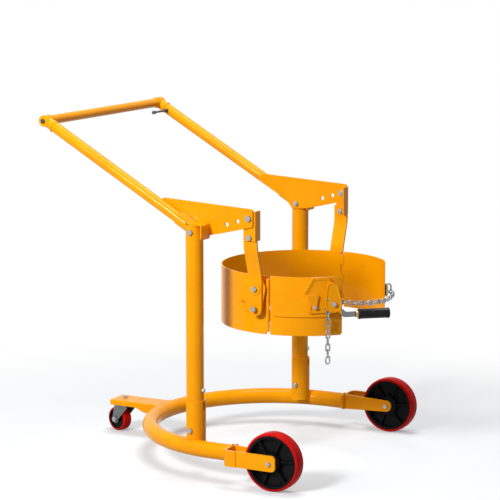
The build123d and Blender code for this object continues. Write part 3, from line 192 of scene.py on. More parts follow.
class SteelSettings(bpy.types.PropertyGroup):
    """Plated fittings and chain"""

    plate: bpy.props.FloatVectorProperty(
        name="Plating colour", description="Colour of the zinc plating", subtype="COLOR", size=4, min=0,
        max=1, default=(0.4, 0.42, 0.44, 1))
    warm: bpy.props.FloatVectorProperty(
        name="Warm plating colour", description="Colour of the plating where it has yellowed",
        subtype="COLOR", size=4, min=0, max=1, default=(0.38, 0.35, 0.29, 1))
    chain: bpy.props.FloatVectorProperty(
        name="Chain colour", description="Colour of the chain's wire", subtype="COLOR", size=4, min=0,
        max=1, default=(0.24, 0.235, 0.23, 1))
    grey: bpy.props.FloatVectorProperty(
        name="Pressed steel colour", description="Colour of the caster's pressed yoke", subtype="COLOR",
        size=4, min=0, max=1, default=(0.15, 0.165, 0.16, 1))
    bare: bpy.props.FloatVectorProperty(
        name="Bare steel colour", description="Colour of the lever's bar where its paint ends",
        subtype="COLOR", size=4, min=0, max=1, default=(0.2, 0.205, 0.21, 1))
    dark: bpy.props.FloatVectorProperty(
        name="Dark steel colour", description="Colour of oiled steel pins", subtype="COLOR", size=4, min=0,
        max=1, default=(0.05, 0.05, 0.052, 1))
    brass: bpy.props.FloatVectorProperty(
        name="Ferrule colour", description="Colour of the lever's ferrule", subtype="COLOR", size=4, min=0,
        max=1, default=(0.55, 0.33, 0.11, 1))
    brush: bpy.props.FloatProperty(
        name="Brush marks", description="Width of the marks left by rolling and plating", unit="LENGTH",
        min=0.0001, default=0.0006)
    brush_depth: bpy.props.FloatProperty(
        name="Brush depth", description="Depth of the marks left by rolling and plating", unit="LENGTH",
        min=0, default=0.0003)
    brush_strength: bpy.props.FloatProperty(
        name="Brush strength", description="How clearly the marks show", subtype="FACTOR", min=0, max=1,
        default=0.08)
    edge: bpy.props.FloatProperty(
        name="Edge width", description="Width over which a steel edge is rounded", unit="LENGTH",
        min=0.0001, default=0.0006)
    plate_edge: bpy.props.FloatProperty(
        name="Plated edge width", description="Width over which a plated edge is rounded", unit="LENGTH",
        min=0.0001, default=0.0007)
    chain_edge: bpy.props.FloatProperty(
        name="Chain edge width", description="Width over which the chain's wire is rounded", unit="LENGTH",
        min=0.0001, default=0.0004)
    plate_roughness: bpy.props.FloatVectorProperty(
        name="Plating roughness", description="Least and greatest roughness of the plating", size=2, min=0,
        max=1, default=(0.26, 0.42))
    chain_roughness: bpy.props.FloatVectorProperty(
        name="Chain roughness", description="Least and greatest roughness of the chain's wire", size=2,
        min=0, max=1, default=(0.2, 0.34))
    grey_roughness: bpy.props.FloatVectorProperty(
        name="Pressed steel roughness", description="Least and greatest roughness of the pressed yoke",
        size=2, min=0, max=1, default=(0.4, 0.55))
    dark_roughness: bpy.props.FloatVectorProperty(
        name="Dark steel roughness", description="Least and greatest roughness of oiled steel pins", size=2,
        min=0, max=1, default=(0.3, 0.46))
    brass_roughness: bpy.props.FloatVectorProperty(
        name="Ferrule roughness", description="Least and greatest roughness of the lever's ferrule", size=2,
        min=0, max=1, default=(0.28, 0.44))
    stain: bpy.props.FloatProperty(
        name="Stain size", description="Width of the tinted patches on the steel", unit="LENGTH", min=0.002,
        default=0.012)


class WeldSettings(bpy.types.PropertyGroup):
    """Weld beads"""

    radius: bpy.props.FloatProperty(
        name="Bead radius", description="Radius of a weld bead", unit="LENGTH", min=0.001, default=0.003)
    ripple: bpy.props.FloatProperty(
        name="Ripple", description="Length of one ripple along a bead", unit="LENGTH", min=0.001,
        default=0.004)
    waist: bpy.props.FloatProperty(
        name="Waist", description="Size of a bead between two ripples, as a share of its radius",
        subtype="FACTOR", min=0.5, max=1, default=0.84)
    arm_start: bpy.props.FloatProperty(
        name="Arm bead start", description="Where an arm's bead starts, as a share of its gusset's length",
        subtype="FACTOR", min=0, max=1, default=0.5)
    arm_end: bpy.props.FloatProperty(
        name="Arm bead end", description="Where an arm's bead ends, as a share of its gusset's length",
        subtype="FACTOR", min=0, max=1, default=0.9)
    arm_rise: bpy.props.FloatProperty(
        name="Arm bead rise",
        description="How far an arm's beads lie above and below its middle, in arm radii", subtype="FACTOR",
        min=0, max=1, default=0.52)
    arm_seat: bpy.props.FloatProperty(
        name="Arm bead seat", description="How far inward an arm's beads lie, in arm radii",
        subtype="FACTOR", min=0, max=1, default=0.93)
    neck_drop: bpy.props.FloatProperty(
        name="Neck bead drop", description="How far down an arm its upper bead lies, in boss radii", min=1,
        default=1.9)


class LeverSettings(bpy.types.PropertyGroup):
    """Binder lever and its grip"""

    paint_end: bpy.props.FloatProperty(
        name="End of the paint",
        description="How far from the lever's axle its paint reaches along the bar", unit="LENGTH",
        default=0.026)
    fray: bpy.props.FloatProperty(
        name="Fray size", description="Width of the tongues at the end of the paint", unit="LENGTH",
        min=0.001, default=0.004)
    fray_reach: bpy.props.FloatProperty(
        name="Fray reach", description="How far the tongues reach past the end of the paint, either way",
        unit="LENGTH", min=0, default=0.001)
    waist: bpy.props.FloatProperty(
        name="Grip waist", description="How much thinner the grip is between its ends", unit="LENGTH",
        min=0, default=0.0012)
    flare: bpy.props.FloatProperty(
        name="Grip flare", description="Length of the thicker end of the grip", unit="LENGTH", min=0.001,
        default=0.012)
    lip: bpy.props.FloatProperty(
        name="Grip lip", description="Share of the flare that has the full thickness", subtype="FACTOR",
        min=0, max=1, default=0.6)
    rounding: bpy.props.FloatProperty(
        name="Grip rounding", description="Rounding of the grip's ends", unit="LENGTH", min=0.0005,
        default=0.0036)
    held: bpy.props.FloatProperty(
        name="Held patches", description="Width of the patches that are shiny from use", unit="LENGTH",
        min=0.002, default=0.02)
    dimple: bpy.props.FloatProperty(
        name="Dimple size", description="Width of the dimples in the dipped coat", unit="LENGTH",
        min=0.0005, default=0.003)
    dimple_depth: bpy.props.FloatProperty(
        name="Dimple depth", description="Depth of the dimples in the dipped coat", unit="LENGTH", min=0,
        default=0.0004)
    dimple_strength: bpy.props.FloatProperty(
        name="Dimple strength", description="How clearly the dimples show", subtype="FACTOR", min=0, max=1,
        default=0.1)
    roughness: bpy.props.FloatVectorProperty(
        name="Grip roughness", description="Least and greatest roughness of the grip", size=2, min=0, max=1,
        default=(0.16, 0.28))
    shine: bpy.props.FloatProperty(
        name="Grip shine", description="Strength of the reflections in the grip", subtype="FACTOR", min=0,
        max=1, default=0.15)


class StageSettings(bpy.types.PropertyGroup):
    """Floor, lights and camera"""

    floor: bpy.props.FloatVectorProperty(
        name="Floor colour", description="Colour of the floor", subtype="COLOR", size=4, min=0, max=1,
        default=(0.86, 0.9, 0.93, 1))
    floor_glow: bpy.props.FloatProperty(
        name="Floor glow", description="Share of plain white in the floor under the carrier",
        subtype="FACTOR", min=0, max=1, default=0.3)
    floor_bounce: bpy.props.FloatProperty(
        name="Floor bounce", description="Share of the light that the floor throws back at the carrier",
        subtype="FACTOR", min=0, max=1, default=0.4)
    floor_radius: bpy.props.FloatProperty(
        name="Floor radius", description="Radius of the floor", unit="LENGTH", default=5)
    floor_clear: bpy.props.FloatProperty(
        name="Start of the fade",
        description="Distance from the carrier's middle where the floor starts to fade", unit="LENGTH",
        default=0.7)
    floor_white: bpy.props.FloatProperty(
        name="End of the fade",
        description="Distance from the carrier's middle where the floor is plain white", unit="LENGTH",
        default=2)
    floor_mottle: bpy.props.FloatProperty(
        name="Floor mottle", description="Width of the faint patches on the floor", unit="LENGTH",
        default=0.4)
    floor_patch: bpy.props.FloatProperty(
        name="Floor patches",
        description="Brightness of the faint patches, as a share of the floor's colour", subtype="FACTOR",
        min=0, max=1, default=0.985)
    floor_roughness: bpy.props.FloatProperty(
        name="Floor roughness", description="Roughness of the floor", subtype="FACTOR", min=0, max=1,
        default=0.8)
    floor_shine: bpy.props.FloatProperty(
        name="Floor shine", description="Strength of the reflections in the floor", subtype="FACTOR", min=0,
        max=1, default=0.1)
    camera_place: bpy.props.FloatVectorProperty(
        name="Camera place", description="Where the camera stands", subtype="TRANSLATION",
        default=(3.5672, -6.6638, 1.9546))
    camera_turn: bpy.props.FloatVectorProperty(
        name="Camera turn", description="How the camera is turned", subtype="EULER",
        default=(math.radians(80.7), 0, math.radians(28.1)))
    camera_lens: bpy.props.FloatProperty(
        name="Lens", description="Focal length of the camera", unit="CAMERA", default=156.1)
    sky: bpy.props.FloatProperty(
        name="Sky light", description="Strength of the even light from all round", min=0, default=0.16)
    key: bpy.props.FloatProperty(
        name="Key light", description="Power of the lamp in front", subtype="POWER", default=240)
    key_place: bpy.props.FloatVectorProperty(
        name="Key place", description="Where the lamp in front hangs", subtype="TRANSLATION",
        default=(-0.7, -4.5, 3.0))
    key_size: bpy.props.FloatProperty(
        name="Key size", description="Width of the lamp in front", unit="LENGTH", default=1)
    top: bpy.props.FloatProperty(
        name="Top light", description="Power of the lamp above", subtype="POWER", default=105)
    top_place: bpy.props.FloatVectorProperty(
        name="Top place", description="Where the lamp above hangs", subtype="TRANSLATION",
        default=(0.2, 0.3, 4.2))
    top_size: bpy.props.FloatProperty(
        name="Top size", description="Width of the lamp above", unit="LENGTH", default=1.8)
    lamp_aim: bpy.props.FloatVectorProperty(
        name="Lamp aim", description="Point that the lamps face", subtype="TRANSLATION",
        default=(0, 0, 0.5))


def add_node(tree, kind, inputs=None, **settings):
    """Adds a shader node, with its settings and with its inputs filled or linked."""
    node = tree.nodes.new(kind)
    for name, value in settings.items():
        setattr(node, name, value)
    for name, value in (inputs or {}).items():
        socket = node.inputs[name]
        if isinstance(value, bpy.types.NodeSocket):
            tree.links.new(value, socket)
        else:
            socket.default_value = value
    return node


def start_material(name):
    """New material with a shader, and the coordinates of the piece that wears it."""
    material = bpy.data.materials.new(name)
    material.use_nodes = True
    tree = material.node_tree
    tree.nodes.clear()
    shader = add_node(tree, "ShaderNodeBsdfPrincipled")
    output = add_node(tree, "ShaderNodeOutputMaterial", {"Surface": shader.outputs["BSDF"]})
    output.is_active_output = True
    coords = add_node(tree, "ShaderNodeTexCoord").outputs["Object"]
    return material, tree, shader, coords


def noise(tree, coords, size, detail=3.0, roughness=0.5):
    """Cloudy pattern whose patches are about as wide as the size."""
    node = add_node(
        tree, "ShaderNodeTexNoise",
        {"Vector": coords, "Scale": 1 / size, "Detail": detail, "Roughness": roughness})
    return node.outputs["Fac"]


def spread(tree, value, low, high, start=0.35, end=0.65):
    """Stretches the middle of a pattern to a range of values."""
    node = add_node(
        tree, "ShaderNodeMapRange",
        {"Value": value, "From Min": start, "From Max": end, "To Min": low, "To Max": high})
    return node.outputs["Result"]


def blend_colours(tree, share, first, second):
    """Mix of two colours by a pattern."""
    node = add_node(
        tree, "ShaderNodeMix", {"Factor": share, COLOUR_A: first, COLOUR_B: second}, data_type="RGBA")
    return node.outputs[COLOUR_RESULT]


def soften_edges(tree, width):
    """Share of a surface point that lies on an edge, and a normal that is rounded only near edges."""
    flat = add_node(tree, "ShaderNodeNewGeometry").outputs["Normal"]
    rounded = add_node(tree, "ShaderNodeBevel", {"Radius": width}, samples=6).outputs["Normal"]
    likeness = add_node(tree, "ShaderNodeVectorMath", {0: flat, 1: rounded}, operation="DOT_PRODUCT")
    near_edge = spread(tree, likeness.outputs["Value"], 1, 0, *NEAR_EDGE_LIKENESS)
    on_edge = spread(tree, likeness.outputs["Value"], 1, 0, *ON_EDGE_LIKENESS)
    normal = add_node(
        tree, "ShaderNodeMix", {"Factor": near_edge, VECTOR_A: flat, VECTOR_B: rounded}, data_type="VECTOR")
    return on_edge, normal.outputs[VECTOR_RESULT]


def link(tree, value, shader, name):
    """Links a pattern to one of the shader's sockets."""
    tree.links.new(value, shader.inputs[name])


def roughen(tree, shader, height, strength, depth, normal=None):
    """Gives a shader a bump from a pattern, over the plain normal or a given one."""
    inputs = {"Height": height, "Strength": strength, "Distance": depth}
    if normal:
        inputs["Normal"] = normal
    link(tree, add_node(tree, "ShaderNodeBump", inputs).outputs["Normal"], shader, "Normal")


def paint_finish(settings):
    """Gloss paint with a little orange peel, uneven depth and thinner edges."""
    material, tree, shader, coords = start_material("gloss_paint")
    edge, rounded = soften_edges(tree, settings.edge)
    clouds = noise(tree, coords, settings.cloud, detail=4)
    runs = noise(tree, coords, settings.run)
    rubs = noise(tree, coords, settings.rub, detail=4)
    peel = noise(tree, coords, settings.peel, detail=1.5)
    depth = blend_colours(tree, spread(tree, clouds, 0, 0.7), settings.colour, settings.deep)
    depth = blend_colours(tree, spread(tree, runs, 0, 0.25), depth, settings.deep)
    rubbed = add_node(tree, "ShaderNodeMath", {0: edge, 1: spread(tree, rubs, 0, 0.6)}, operation="MULTIPLY")
    colour = blend_colours(tree, rubbed.outputs["Value"], depth, settings.worn)
    link(tree, colour, shader, "Base Color")
    link(tree, spread(tree, runs, *settings.roughness), shader, "Roughness")
    shader.inputs["Specular IOR Level"].default_value = settings.shine
    roughen(tree, shader, peel, settings.peel_strength, settings.peel_depth, rounded)
    return material


def tread_finish(settings):
    """Cast red tread with a dull bloom and fine scuffs."""
    material, tree, shader, coords = start_material("cast_tread")
    bloom = noise(tree, coords, settings.bloom, detail=4)
    scuffs = noise(tree, coords, settings.scuff, detail=5, roughness=0.7)
    colour = blend_colours(tree, spread(tree, bloom, 0, 0.5), settings.tread, settings.dusty)
    colour = blend_colours(tree, spread(tree, scuffs, 0, 0.2, start=0.5, end=0.75), colour, settings.dusty)
    link(tree, colour, shader, "Base Color")
    link(tree, spread(tree, bloom, *settings.tread_roughness), shader, "Roughness")
    shader.inputs["Specular IOR Level"].default_value = settings.tread_shine
    roughen(tree, shader, scuffs, settings.scuff_strength, settings.scuff_depth)
    return material


def hub_finish(settings):
    """Moulded black hub with a fine grain."""
    material, tree, shader, coords = start_material("moulded_hub")
    grain = noise(tree, coords, settings.grain, detail=2)
    dry = noise(tree, coords, settings.bloom, detail=4)
    colour = blend_colours(tree, spread(tree, dry, 0, 1), settings.hub, settings.hub_faded)
    link(tree, colour, shader, "Base Color")
    link(tree, spread(tree, dry, *settings.hub_roughness), shader, "Roughness")
    shader.inputs["Specular IOR Level"].default_value = settings.hub_shine
    roughen(tree, shader, grain, settings.grain_strength, settings.grain_depth)
    return material


def steel_finish(name, settings, main, tinted, roughness, edge):
    """Metal with uneven plating, fine marks and softened edges."""
    material, tree, shader, coords = start_material(name)
    rounded = soften_edges(tree, edge)[1]
    stains = noise(tree, coords, settings.stain, detail=4)
    marks = noise(tree, coords, settings.brush, roughness=0.6)
    link(tree, blend_colours(tree, spread(tree, stains, 0, 0.8), main, tinted), shader, "Base Color")
    link(tree, spread(tree, marks, *roughness), shader, "Roughness")
    shader.inputs["Metallic"].default_value = 1
    roughen(tree, shader, marks, settings.brush_strength, settings.brush_depth, rounded)
    return material


def grip_finish(settings, black, faded):
    """Black dipped grip, shiny where it is held."""
    material, tree, shader, coords = start_material("dipped_grip")
    held = noise(tree, coords, settings.held)
    dimples = noise(tree, coords, settings.dimple, detail=2)
    link(tree, blend_colours(tree, spread(tree, held, 0, 1), black, faded), shader, "Base Color")
    link(tree, spread(tree, held, *settings.roughness), shader, "Roughness")
    shader.inputs["Specular IOR Level"].default_value = settings.shine
    roughen(tree, shader, dimples, settings.dimple_strength, settings.dimple_depth)
    return material


def lever_finish(paint, steel, settings, axle, along):
    """Gloss paint on the lever's plate, and bare steel on the bar along a direction from its axle."""
    material = paint_finish(paint)
    material.name = "lever_paint"
    tree = material.node_tree
    shader = next(node for node in tree.nodes if node.type == "BSDF_PRINCIPLED")
    coords = next(node for node in tree.nodes if node.type == "TEX_COORD").outputs["Object"]
    offset = add_node(tree, "ShaderNodeVectorMath", {0: coords, 1: axle}, operation="SUBTRACT")
    reach = add_node(
        tree, "ShaderNodeVectorMath", {0: offset.outputs["Vector"], 1: along}, operation="DOT_PRODUCT")
    paint_end = spread(
        tree, noise(tree, coords, settings.fray), settings.paint_end - settings.fray_reach,
        settings.paint_end + settings.fray_reach)
    beyond = add_node(
        tree, "ShaderNodeMath", {0: reach.outputs["Value"], 1: paint_end}, operation="GREATER_THAN")
    bare = beyond.outputs["Value"]
    marks = noise(tree, coords, steel.brush, roughness=0.6)
    metal = blend_colours(tree, marks, steel.bare, steel.grey)
    painted = shader.inputs["Base Color"].links[0].from_socket
    link(tree, blend_colours(tree, bare, painted, metal), shader, "Base Color")
    link(tree, bare, shader, "Metallic")
    return material


def wear(material, names):
    """Gives a material to CAD nodes."""
    for name in names:
        mesh = frame["nodes"][name].data
        mesh.materials.clear()
        mesh.materials.append(material)


def joint_named(name):
    """Joint of the frame by name."""
    return next(joint for joint in frame["joints"] if joint["name"] == name)


def reach_of(node, centre, axis):
    """Largest radius of a CAD node round an axis, and its lowest and highest place along it."""
    offsets = [vertex.co - centre for vertex in frame["nodes"][node].data.vertices]
    along = [offset.dot(axis) for offset in offsets]
    radii = [(offset - axis * place).length for offset, place in zip(offsets, along)]
    return max(radii), min(along), max(along)


def middle_of(node):
    """Middle of a CAD node's box."""
    low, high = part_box(node)
    return (low + high) / 2


def turned_shape(profile, centre, axis, steps):
    """Closed profile of radius and place along an axis, spun all the way round."""
    shape = bmesh.new()
    side = axis.orthogonal().normalized()
    corners = [shape.verts.new(centre + side * radius + axis * along) for radius, along in profile]
    edges = [shape.edges.new(ends) for ends in zip(corners, corners[1:] + corners[:1])]
    bmesh.ops.spin(
        shape, geom=corners + edges, cent=centre, axis=axis, angle=math.tau, steps=steps, use_merge=True)
    bmesh.ops.remove_doubles(shape, verts=shape.verts, dist=MERGE_DISTANCE)
    bmesh.ops.recalc_face_normals(shape, faces=shape.faces)
    return shape


def round_rings(shape, centre, axis, radius, size):
    """Rounds every ring of edges that lies at a radius round an axis."""
    def on_ring(vertex):
        offset = vertex.co - centre
        return abs((offset - axis * offset.dot(axis)).length - radius) < RING_TOLERANCE

    def level(edge):
        return abs((edge.verts[0].co - edge.verts[1].co).dot(axis)) < RING_TOLERANCE

    rings = [edge for edge in shape.edges if all(map(on_ring, edge.verts)) and level(edge)]
    bmesh.ops.bevel(
        shape, geom=rings, offset=size, segments=ROUNDING_STEPS, profile=0.5, affect="EDGES", material=-1,
        clamp_overlap=True)


def show_piece(shape, name, material, body):
    """Turns a finished shape into a piece that rides on a body."""
    bmesh.ops.recalc_face_normals(shape, faces=shape.faces)
    mesh = bpy.data.meshes.new(name)
    shape.to_mesh(mesh)
    shape.free()
    mesh.shade_smooth()
    mesh.set_sharp_from_angle(angle=SHARP_ANGLE)
    mesh.materials.append(material)
    piece = bpy.data.objects.new(name, mesh)
    bpy.context.scene.collection.objects.link(piece)
    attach(piece, body)
    return piece


def cast_tread(wheel, settings, material):
    """Round-shouldered, slightly crowned tread in place of a wheel's plain one."""
    joint = joint_named(TURNS[wheel])
    centre = Vector(joint["pos_m"])
    axis = Vector(joint["axis"]).normalized()
    radius, low, high = reach_of(wheel + "_tyre", centre, axis)
    seat = reach_of(wheel + "_hub", centre, axis)[0]
    edge = radius - settings.crown
    profile = [(seat, low), (edge, low), (radius, (low + high) / 2), (edge, high), (seat, high)]
    shape = turned_shape(profile, centre, axis, TREAD_STEPS)
    round_rings(shape, centre, axis, edge, settings.shoulder)
    piece = show_piece(shape, wheel + "_tread", material, joint["child"])
    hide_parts(wheel + "_tyre")


def dip_grip(settings, along, material):
    """Dipped grip with flared ends in place of the lever's plain one."""
    middle = middle_of("lever_grip")
    radius, low, high = reach_of("lever_grip", middle, along)
    waist = radius - settings.waist
    lip = settings.lip * settings.flare
    profile = [
        (0, low), (radius, low), (radius, low + lip), (waist, low + settings.flare),
        (waist, high - settings.flare), (radius, high - lip), (radius, high), (0, high)]
    shape = turned_shape(profile, middle, along, GRIP_STEPS)
    round_rings(shape, middle, along, radius, settings.rounding)
    piece = show_piece(shape, "dipped_grip", material, joint_named("lever_stroke")["child"])
    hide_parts("lever_grip")


def lay_bead(shape, start, heading, step, count, settings):
    """Adds a rippled weld bead, half a ripple at each step, and gives its first face and last ring."""
    turn = heading.to_track_quat("Z", "Y").to_matrix().to_4x4()
    made = bmesh.ops.create_circle(
        shape, cap_ends=True, segments=BEAD_SIDES, radius=settings.radius * settings.waist,
        matrix=Matrix.Translation(start) @ turn)["verts"]
    cap = made[0].link_faces[0]
    ring = list(cap.edges)
    sizes = (1 / settings.waist, settings.waist)
    for number in range(count):
        made = bmesh.ops.extrude_edge_only(shape, edges=ring)["geom"]
        points = [item for item in made if isinstance(item, bmesh.types.BMVert)]
        edges = [item for item in made if isinstance(item, bmesh.types.BMEdge)]
        ring = [edge for edge in edges if set(edge.verts) <= set(points)]
        bmesh.ops.transform(shape, matrix=step, verts=points)
        middle = sum((point.co for point in points), Vector()) / len(points)
        size = Vector((1, 1, 1)) * sizes[number % 2]
        bmesh.ops.scale(shape, vec=size, space=Matrix.Translation(-middle), verts=points)
    return cap, ring


def straight_bead(shape, start, end, settings):
    """Adds a straight weld bead between two points."""
    run = end - start
    count = 2 * max(1, round(run.length / settings.ripple))
    ring = lay_bead(shape, start, run, Matrix.Translation(run / count), count, settings)[1]
    bmesh.ops.contextual_create(shape, geom=ring)


def turn_about(centre, axis, angle):
    """Matrix of a turn about an axis through a point."""
    return Matrix.Translation(centre) @ Matrix.Rotation(angle, 4, axis) @ Matrix.Translation(-centre)


def curved_bead(shape, start, centre, axis, angle, settings):
    """Adds a weld bead along an arc, from its start through an angle round an axis."""
    arm = start - centre
    arm -= axis * arm.dot(axis)
    count = 2 * max(1, round(abs(angle) * arm.length / settings.ripple))
    step = turn_about(centre, axis, angle / count)
    ring = lay_bead(shape, start, axis.cross(arm) * angle, step, count, settings)[1]
    bmesh.ops.contextual_create(shape, geom=ring)


def ring_bead(shape, centre, axis, radius, settings):
    """Adds a weld bead all the way round a tube."""
    start = centre + axis.orthogonal().normalized() * radius
    count = 2 * round(math.tau * radius / settings.ripple)
    step = turn_about(centre, axis, math.tau / count)
    cap = lay_bead(shape, start, axis.cross(start - centre), step, count, settings)[0]
    bmesh.ops.delete(shape, geom=[cap], context="FACES_ONLY")
    bmesh.ops.remove_doubles(shape, verts=shape.verts, dist=MERGE_DISTANCE)


def base_bend():
    """Radius of the base tube, and the centre and the radius of its middle line's bend."""
    low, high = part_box("base_tube")
    radius = (high.z - low.z) / 2
    bend = high.y - radius
    return radius, Vector((low.x + radius + bend, 0, (low.z + high.z) / 2)), bend


def weld_tube_ends(shape, settings):
    """Beads round the ends of the base tube, on the wheel forks."""
    radius, centre, bend = base_bend()
    end_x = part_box("base_tube")[1].x
    for end_y in (-bend, bend):
        ring_bead(shape, Vector((end_x, end_y, centre.z)), Vector((1, 0, 0)), radius, settings)


def weld_channel(shape, settings):
    """Bead along the top of the caster's channel, on the base tube."""
    radius, centre, bend = base_bend()
    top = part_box("caster_channel")[1]
    seam = bend + math.sqrt(radius ** 2 - (top.z - centre.z) ** 2)
    half = math.asin(top.y / seam)
    pivot = Vector((centre.x, 0, top.z))
    start = pivot + Vector((-seam * math.cos(half), seam * math.sin(half), 0))
    curved_bead(shape, start, pivot, Vector((0, 0, 1)), 2 * half, settings)


def arm_line():
    """Points of an arm's middle line at the crossbar and at its post, and the direction between them."""
    handle = middle_of("handle_crossbar")
    low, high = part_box("post_bolts")
    hex_half = (high.x - low.x) / 2 * HEX_FLAT_SHARE
    foot = Vector((middle_of("right_post").x, handle.y, high.z - hex_half))
    return handle, foot, (foot - handle).normalized()


def weld_arms(shape, settings):
    """Beads between each arm and its gusset plate, and round each arm under the crossbar's boss."""
    handle, foot, down = arm_line()
    above = Vector((0, 1, 0)).cross(down)
    above *= math.copysign(1, above.z)
    boss_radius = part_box("handle_bosses")[1].z - handle.z
    for side in SIDES:
        low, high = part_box(side + "_handle_arm")
        radius = (high.y - low.y) / 2
        arm_y = (low.y + high.y) / 2
        neck = handle + down * settings.neck_drop * boss_radius
        ring_bead(shape, neck + Vector((0, arm_y, 0)), down, radius, settings)
        gusset_reach = (foot.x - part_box(side + "_gusset_plate")[0].x) / abs(down.x)
        seat_y = arm_y - math.copysign(settings.arm_seat * radius, arm_y)
        for rise in (-settings.arm_rise, settings.arm_rise):
            seam = foot + above * rise * radius + Vector((0, seat_y, 0))
            start = seam - down * settings.arm_start * gusset_reach
            end = seam - down * settings.arm_end * gusset_reach
            straight_bead(shape, start, end, settings)


def weld_sockets(shape, settings):
    """Short bead along the foot of each post's socket, on the base tube."""
    radius, centre, bend = base_bend()
    for side in SIDES:
        socket_low, socket_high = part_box(side + "_post_socket")
        outer = max(socket_low.y, socket_high.y, key=abs)
        ends = []
        for x in (socket_low.x, middle_of(side + "_post").x):
            tube_y = math.sqrt(bend ** 2 - (x - centre.x) ** 2)
            lift = math.sqrt(radius ** 2 - (abs(outer) - tube_y) ** 2)
            ends.append(Vector((x, outer, centre.z + lift)))
        straight_bead(shape, *ends, settings)


class CARRIER_OT_paint(bpy.types.Operator):
    """Paints the frame, the saddle, the flaps and the binder's plates, and lays the weld beads"""

    bl_idname = "carrier.paint"
    bl_label = "Paint the frame and saddle"

    def execute(self, context):
        paint = paint_finish(context.scene.carrier_paint)
        wear(paint, slot_nodes("yellow_paint"))
        welds = bmesh.new()
        for weld in (weld_tube_ends, weld_channel, weld_arms, weld_sockets):
            weld(welds, context.scene.carrier_welds)
        show_piece(welds, "frame_welds", paint, "frame")
        return {"FINISHED"}


class CARRIER_OT_wheels(bpy.types.Operator):
    """Finishes the treads and hubs of the front wheels and the caster"""

    bl_idname = "carrier.wheels"
    bl_label = "Finish the wheels"

    def execute(self, context):
        settings = context.scene.carrier_wheels
        tread = tread_finish(settings)
        for wheel in TURNS:
            cast_tread(wheel, settings, tread)
        wear(hub_finish(settings), HUBS)
        return {"FINISHED"}


class CARRIER_OT_steel(bpy.types.Operator):
    """Finishes the bolts, pins, axles, caster fork and chain"""

    bl_idname = "carrier.steel"
    bl_label = "Finish the steel"

    def execute(self, context):
        steel = context.scene.carrier_steel
        plated = steel_finish(
            "zinc_plate", steel, steel.plate, steel.warm, steel.plate_roughness, steel.plate_edge)
        wear(plated, slot_nodes("zinc_steel"))
        chain = steel_finish(
            "chain_wire", steel, steel.chain, steel.plate, steel.chain_roughness, steel.chain_edge)
        wear(chain, CHAINS)
        grey = steel_finish("pressed_steel", steel, steel.grey, steel.bare, steel.grey_roughness, steel.edge)
        wear(grey, GREY_PRESSINGS)
        dark = steel_finish("oiled_steel", steel, steel.dark, steel.grey, steel.dark_roughness, steel.edge)
        wear(dark, DARK_PINS)
        return {"FINISHED"}


class CARRIER_OT_lever(bpy.types.Operator):
    """Finishes the binder's lever, its grip and its ferrule"""

    bl_idname = "carrier.lever"
    bl_label = "Finish the lever"

    def execute(self, context):
        settings = context.scene.carrier_lever
        paint = context.scene.carrier_paint
        steel = context.scene.carrier_steel
        wheels = context.scene.carrier_wheels
        joint = joint_named("lever_stroke")
        axle = Vector(joint["pos_m"])
        along = Vector((0, 0, 1)).cross(Vector(joint["axis"])).normalized()
        if along.dot(middle_of("lever_grip") - axle) < 0:
            along = -along
        dip_grip(settings, along, grip_finish(settings, wheels.hub, wheels.hub_faded))
        wear(lever_finish(paint, steel, settings, axle, along), ["lever_plate"])
        brass = steel_finish(
            "brass_ferrule", steel, steel.brass, steel.warm, steel.brass_roughness, steel.edge)
        wear(brass, ["lever_ferrule"])
        return {"FINISHED"}


def seen_share(tree):
    """One where a ray comes from the camera or from a reflection, and nought where it carries light."""
    rays = add_node(tree, "ShaderNodeLightPath").outputs
    mirrored = add_node(
        tree, "ShaderNodeMath", {0: rays["Is Glossy Ray"], 1: rays["Is Transmission Ray"]},
        operation="MAXIMUM")
    seen = add_node(
        tree, "ShaderNodeMath", {0: rays["Is Camera Ray"], 1: mirrored.outputs["Value"]}, operation="MAXIMUM")
    return seen.outputs["Value"]


def floor_finish(settings):
    """Pale floor that takes soft shadows under the carrier and fades to white away from it."""
    material, tree, shader, coords = start_material("pale_floor")
    mottle = noise(tree, coords, settings.floor_mottle, detail=2)
    patch = (*(settings.floor_patch * value for value in settings.floor[:3]), 1)
    bounce = (*(settings.floor_bounce * value for value in WHITE[:3]), 1)
    plain = blend_colours(tree, mottle, settings.floor, patch)
    seen = seen_share(tree)
    link(tree, blend_colours(tree, seen, bounce, plain), shader, "Base Color")
    shader.inputs["Roughness"].default_value = settings.floor_roughness
    shader.inputs["Specular IOR Level"].default_value = settings.floor_shine
    distance = add_node(tree, "ShaderNodeVectorMath", {0: coords}, operation="LENGTH").outputs["Value"]
    fade = add_node(
        tree, "ShaderNodeMapRange",
        {"Value": distance, "From Min": settings.floor_clear, "From Max": settings.floor_white,
         "To Min": settings.floor_glow, "To Max": 1.0},
        interpolation_type="SMOOTHSTEP").outputs["Result"]
    white = add_node(tree, "ShaderNodeEmission", {"Color": WHITE, "Strength": 1.0})
    share = add_node(tree, "ShaderNodeMath", {0: fade, 1: seen}, operation="MULTIPLY")
    mix = add_node(tree, "ShaderNodeMixShader", {"Fac": share.outputs["Value"]})
    tree.links.new(shader.outputs["BSDF"], mix.inputs[1])
    tree.links.new(white.outputs["Emission"], mix.inputs[2])
    output = next(node for node in tree.nodes if node.type == "OUTPUT_MATERIAL")
    tree.links.new(mix.outputs["Shader"], output.inputs["Surface"])
    return material


def lay_floor(settings):
    """Round floor under the carrier."""
    shape = bmesh.new()
    bmesh.ops.create_circle(shape, cap_ends=True, segments=FLOOR_SIDES, radius=settings.floor_radius)
    mesh = bpy.data.meshes.new("floor")
    shape.to_mesh(mesh)
    shape.free()
    floor = bpy.data.objects.new("floor", mesh)
    bpy.context.scene.collection.objects.link(floor)
    mesh.materials.append(floor_finish(settings))


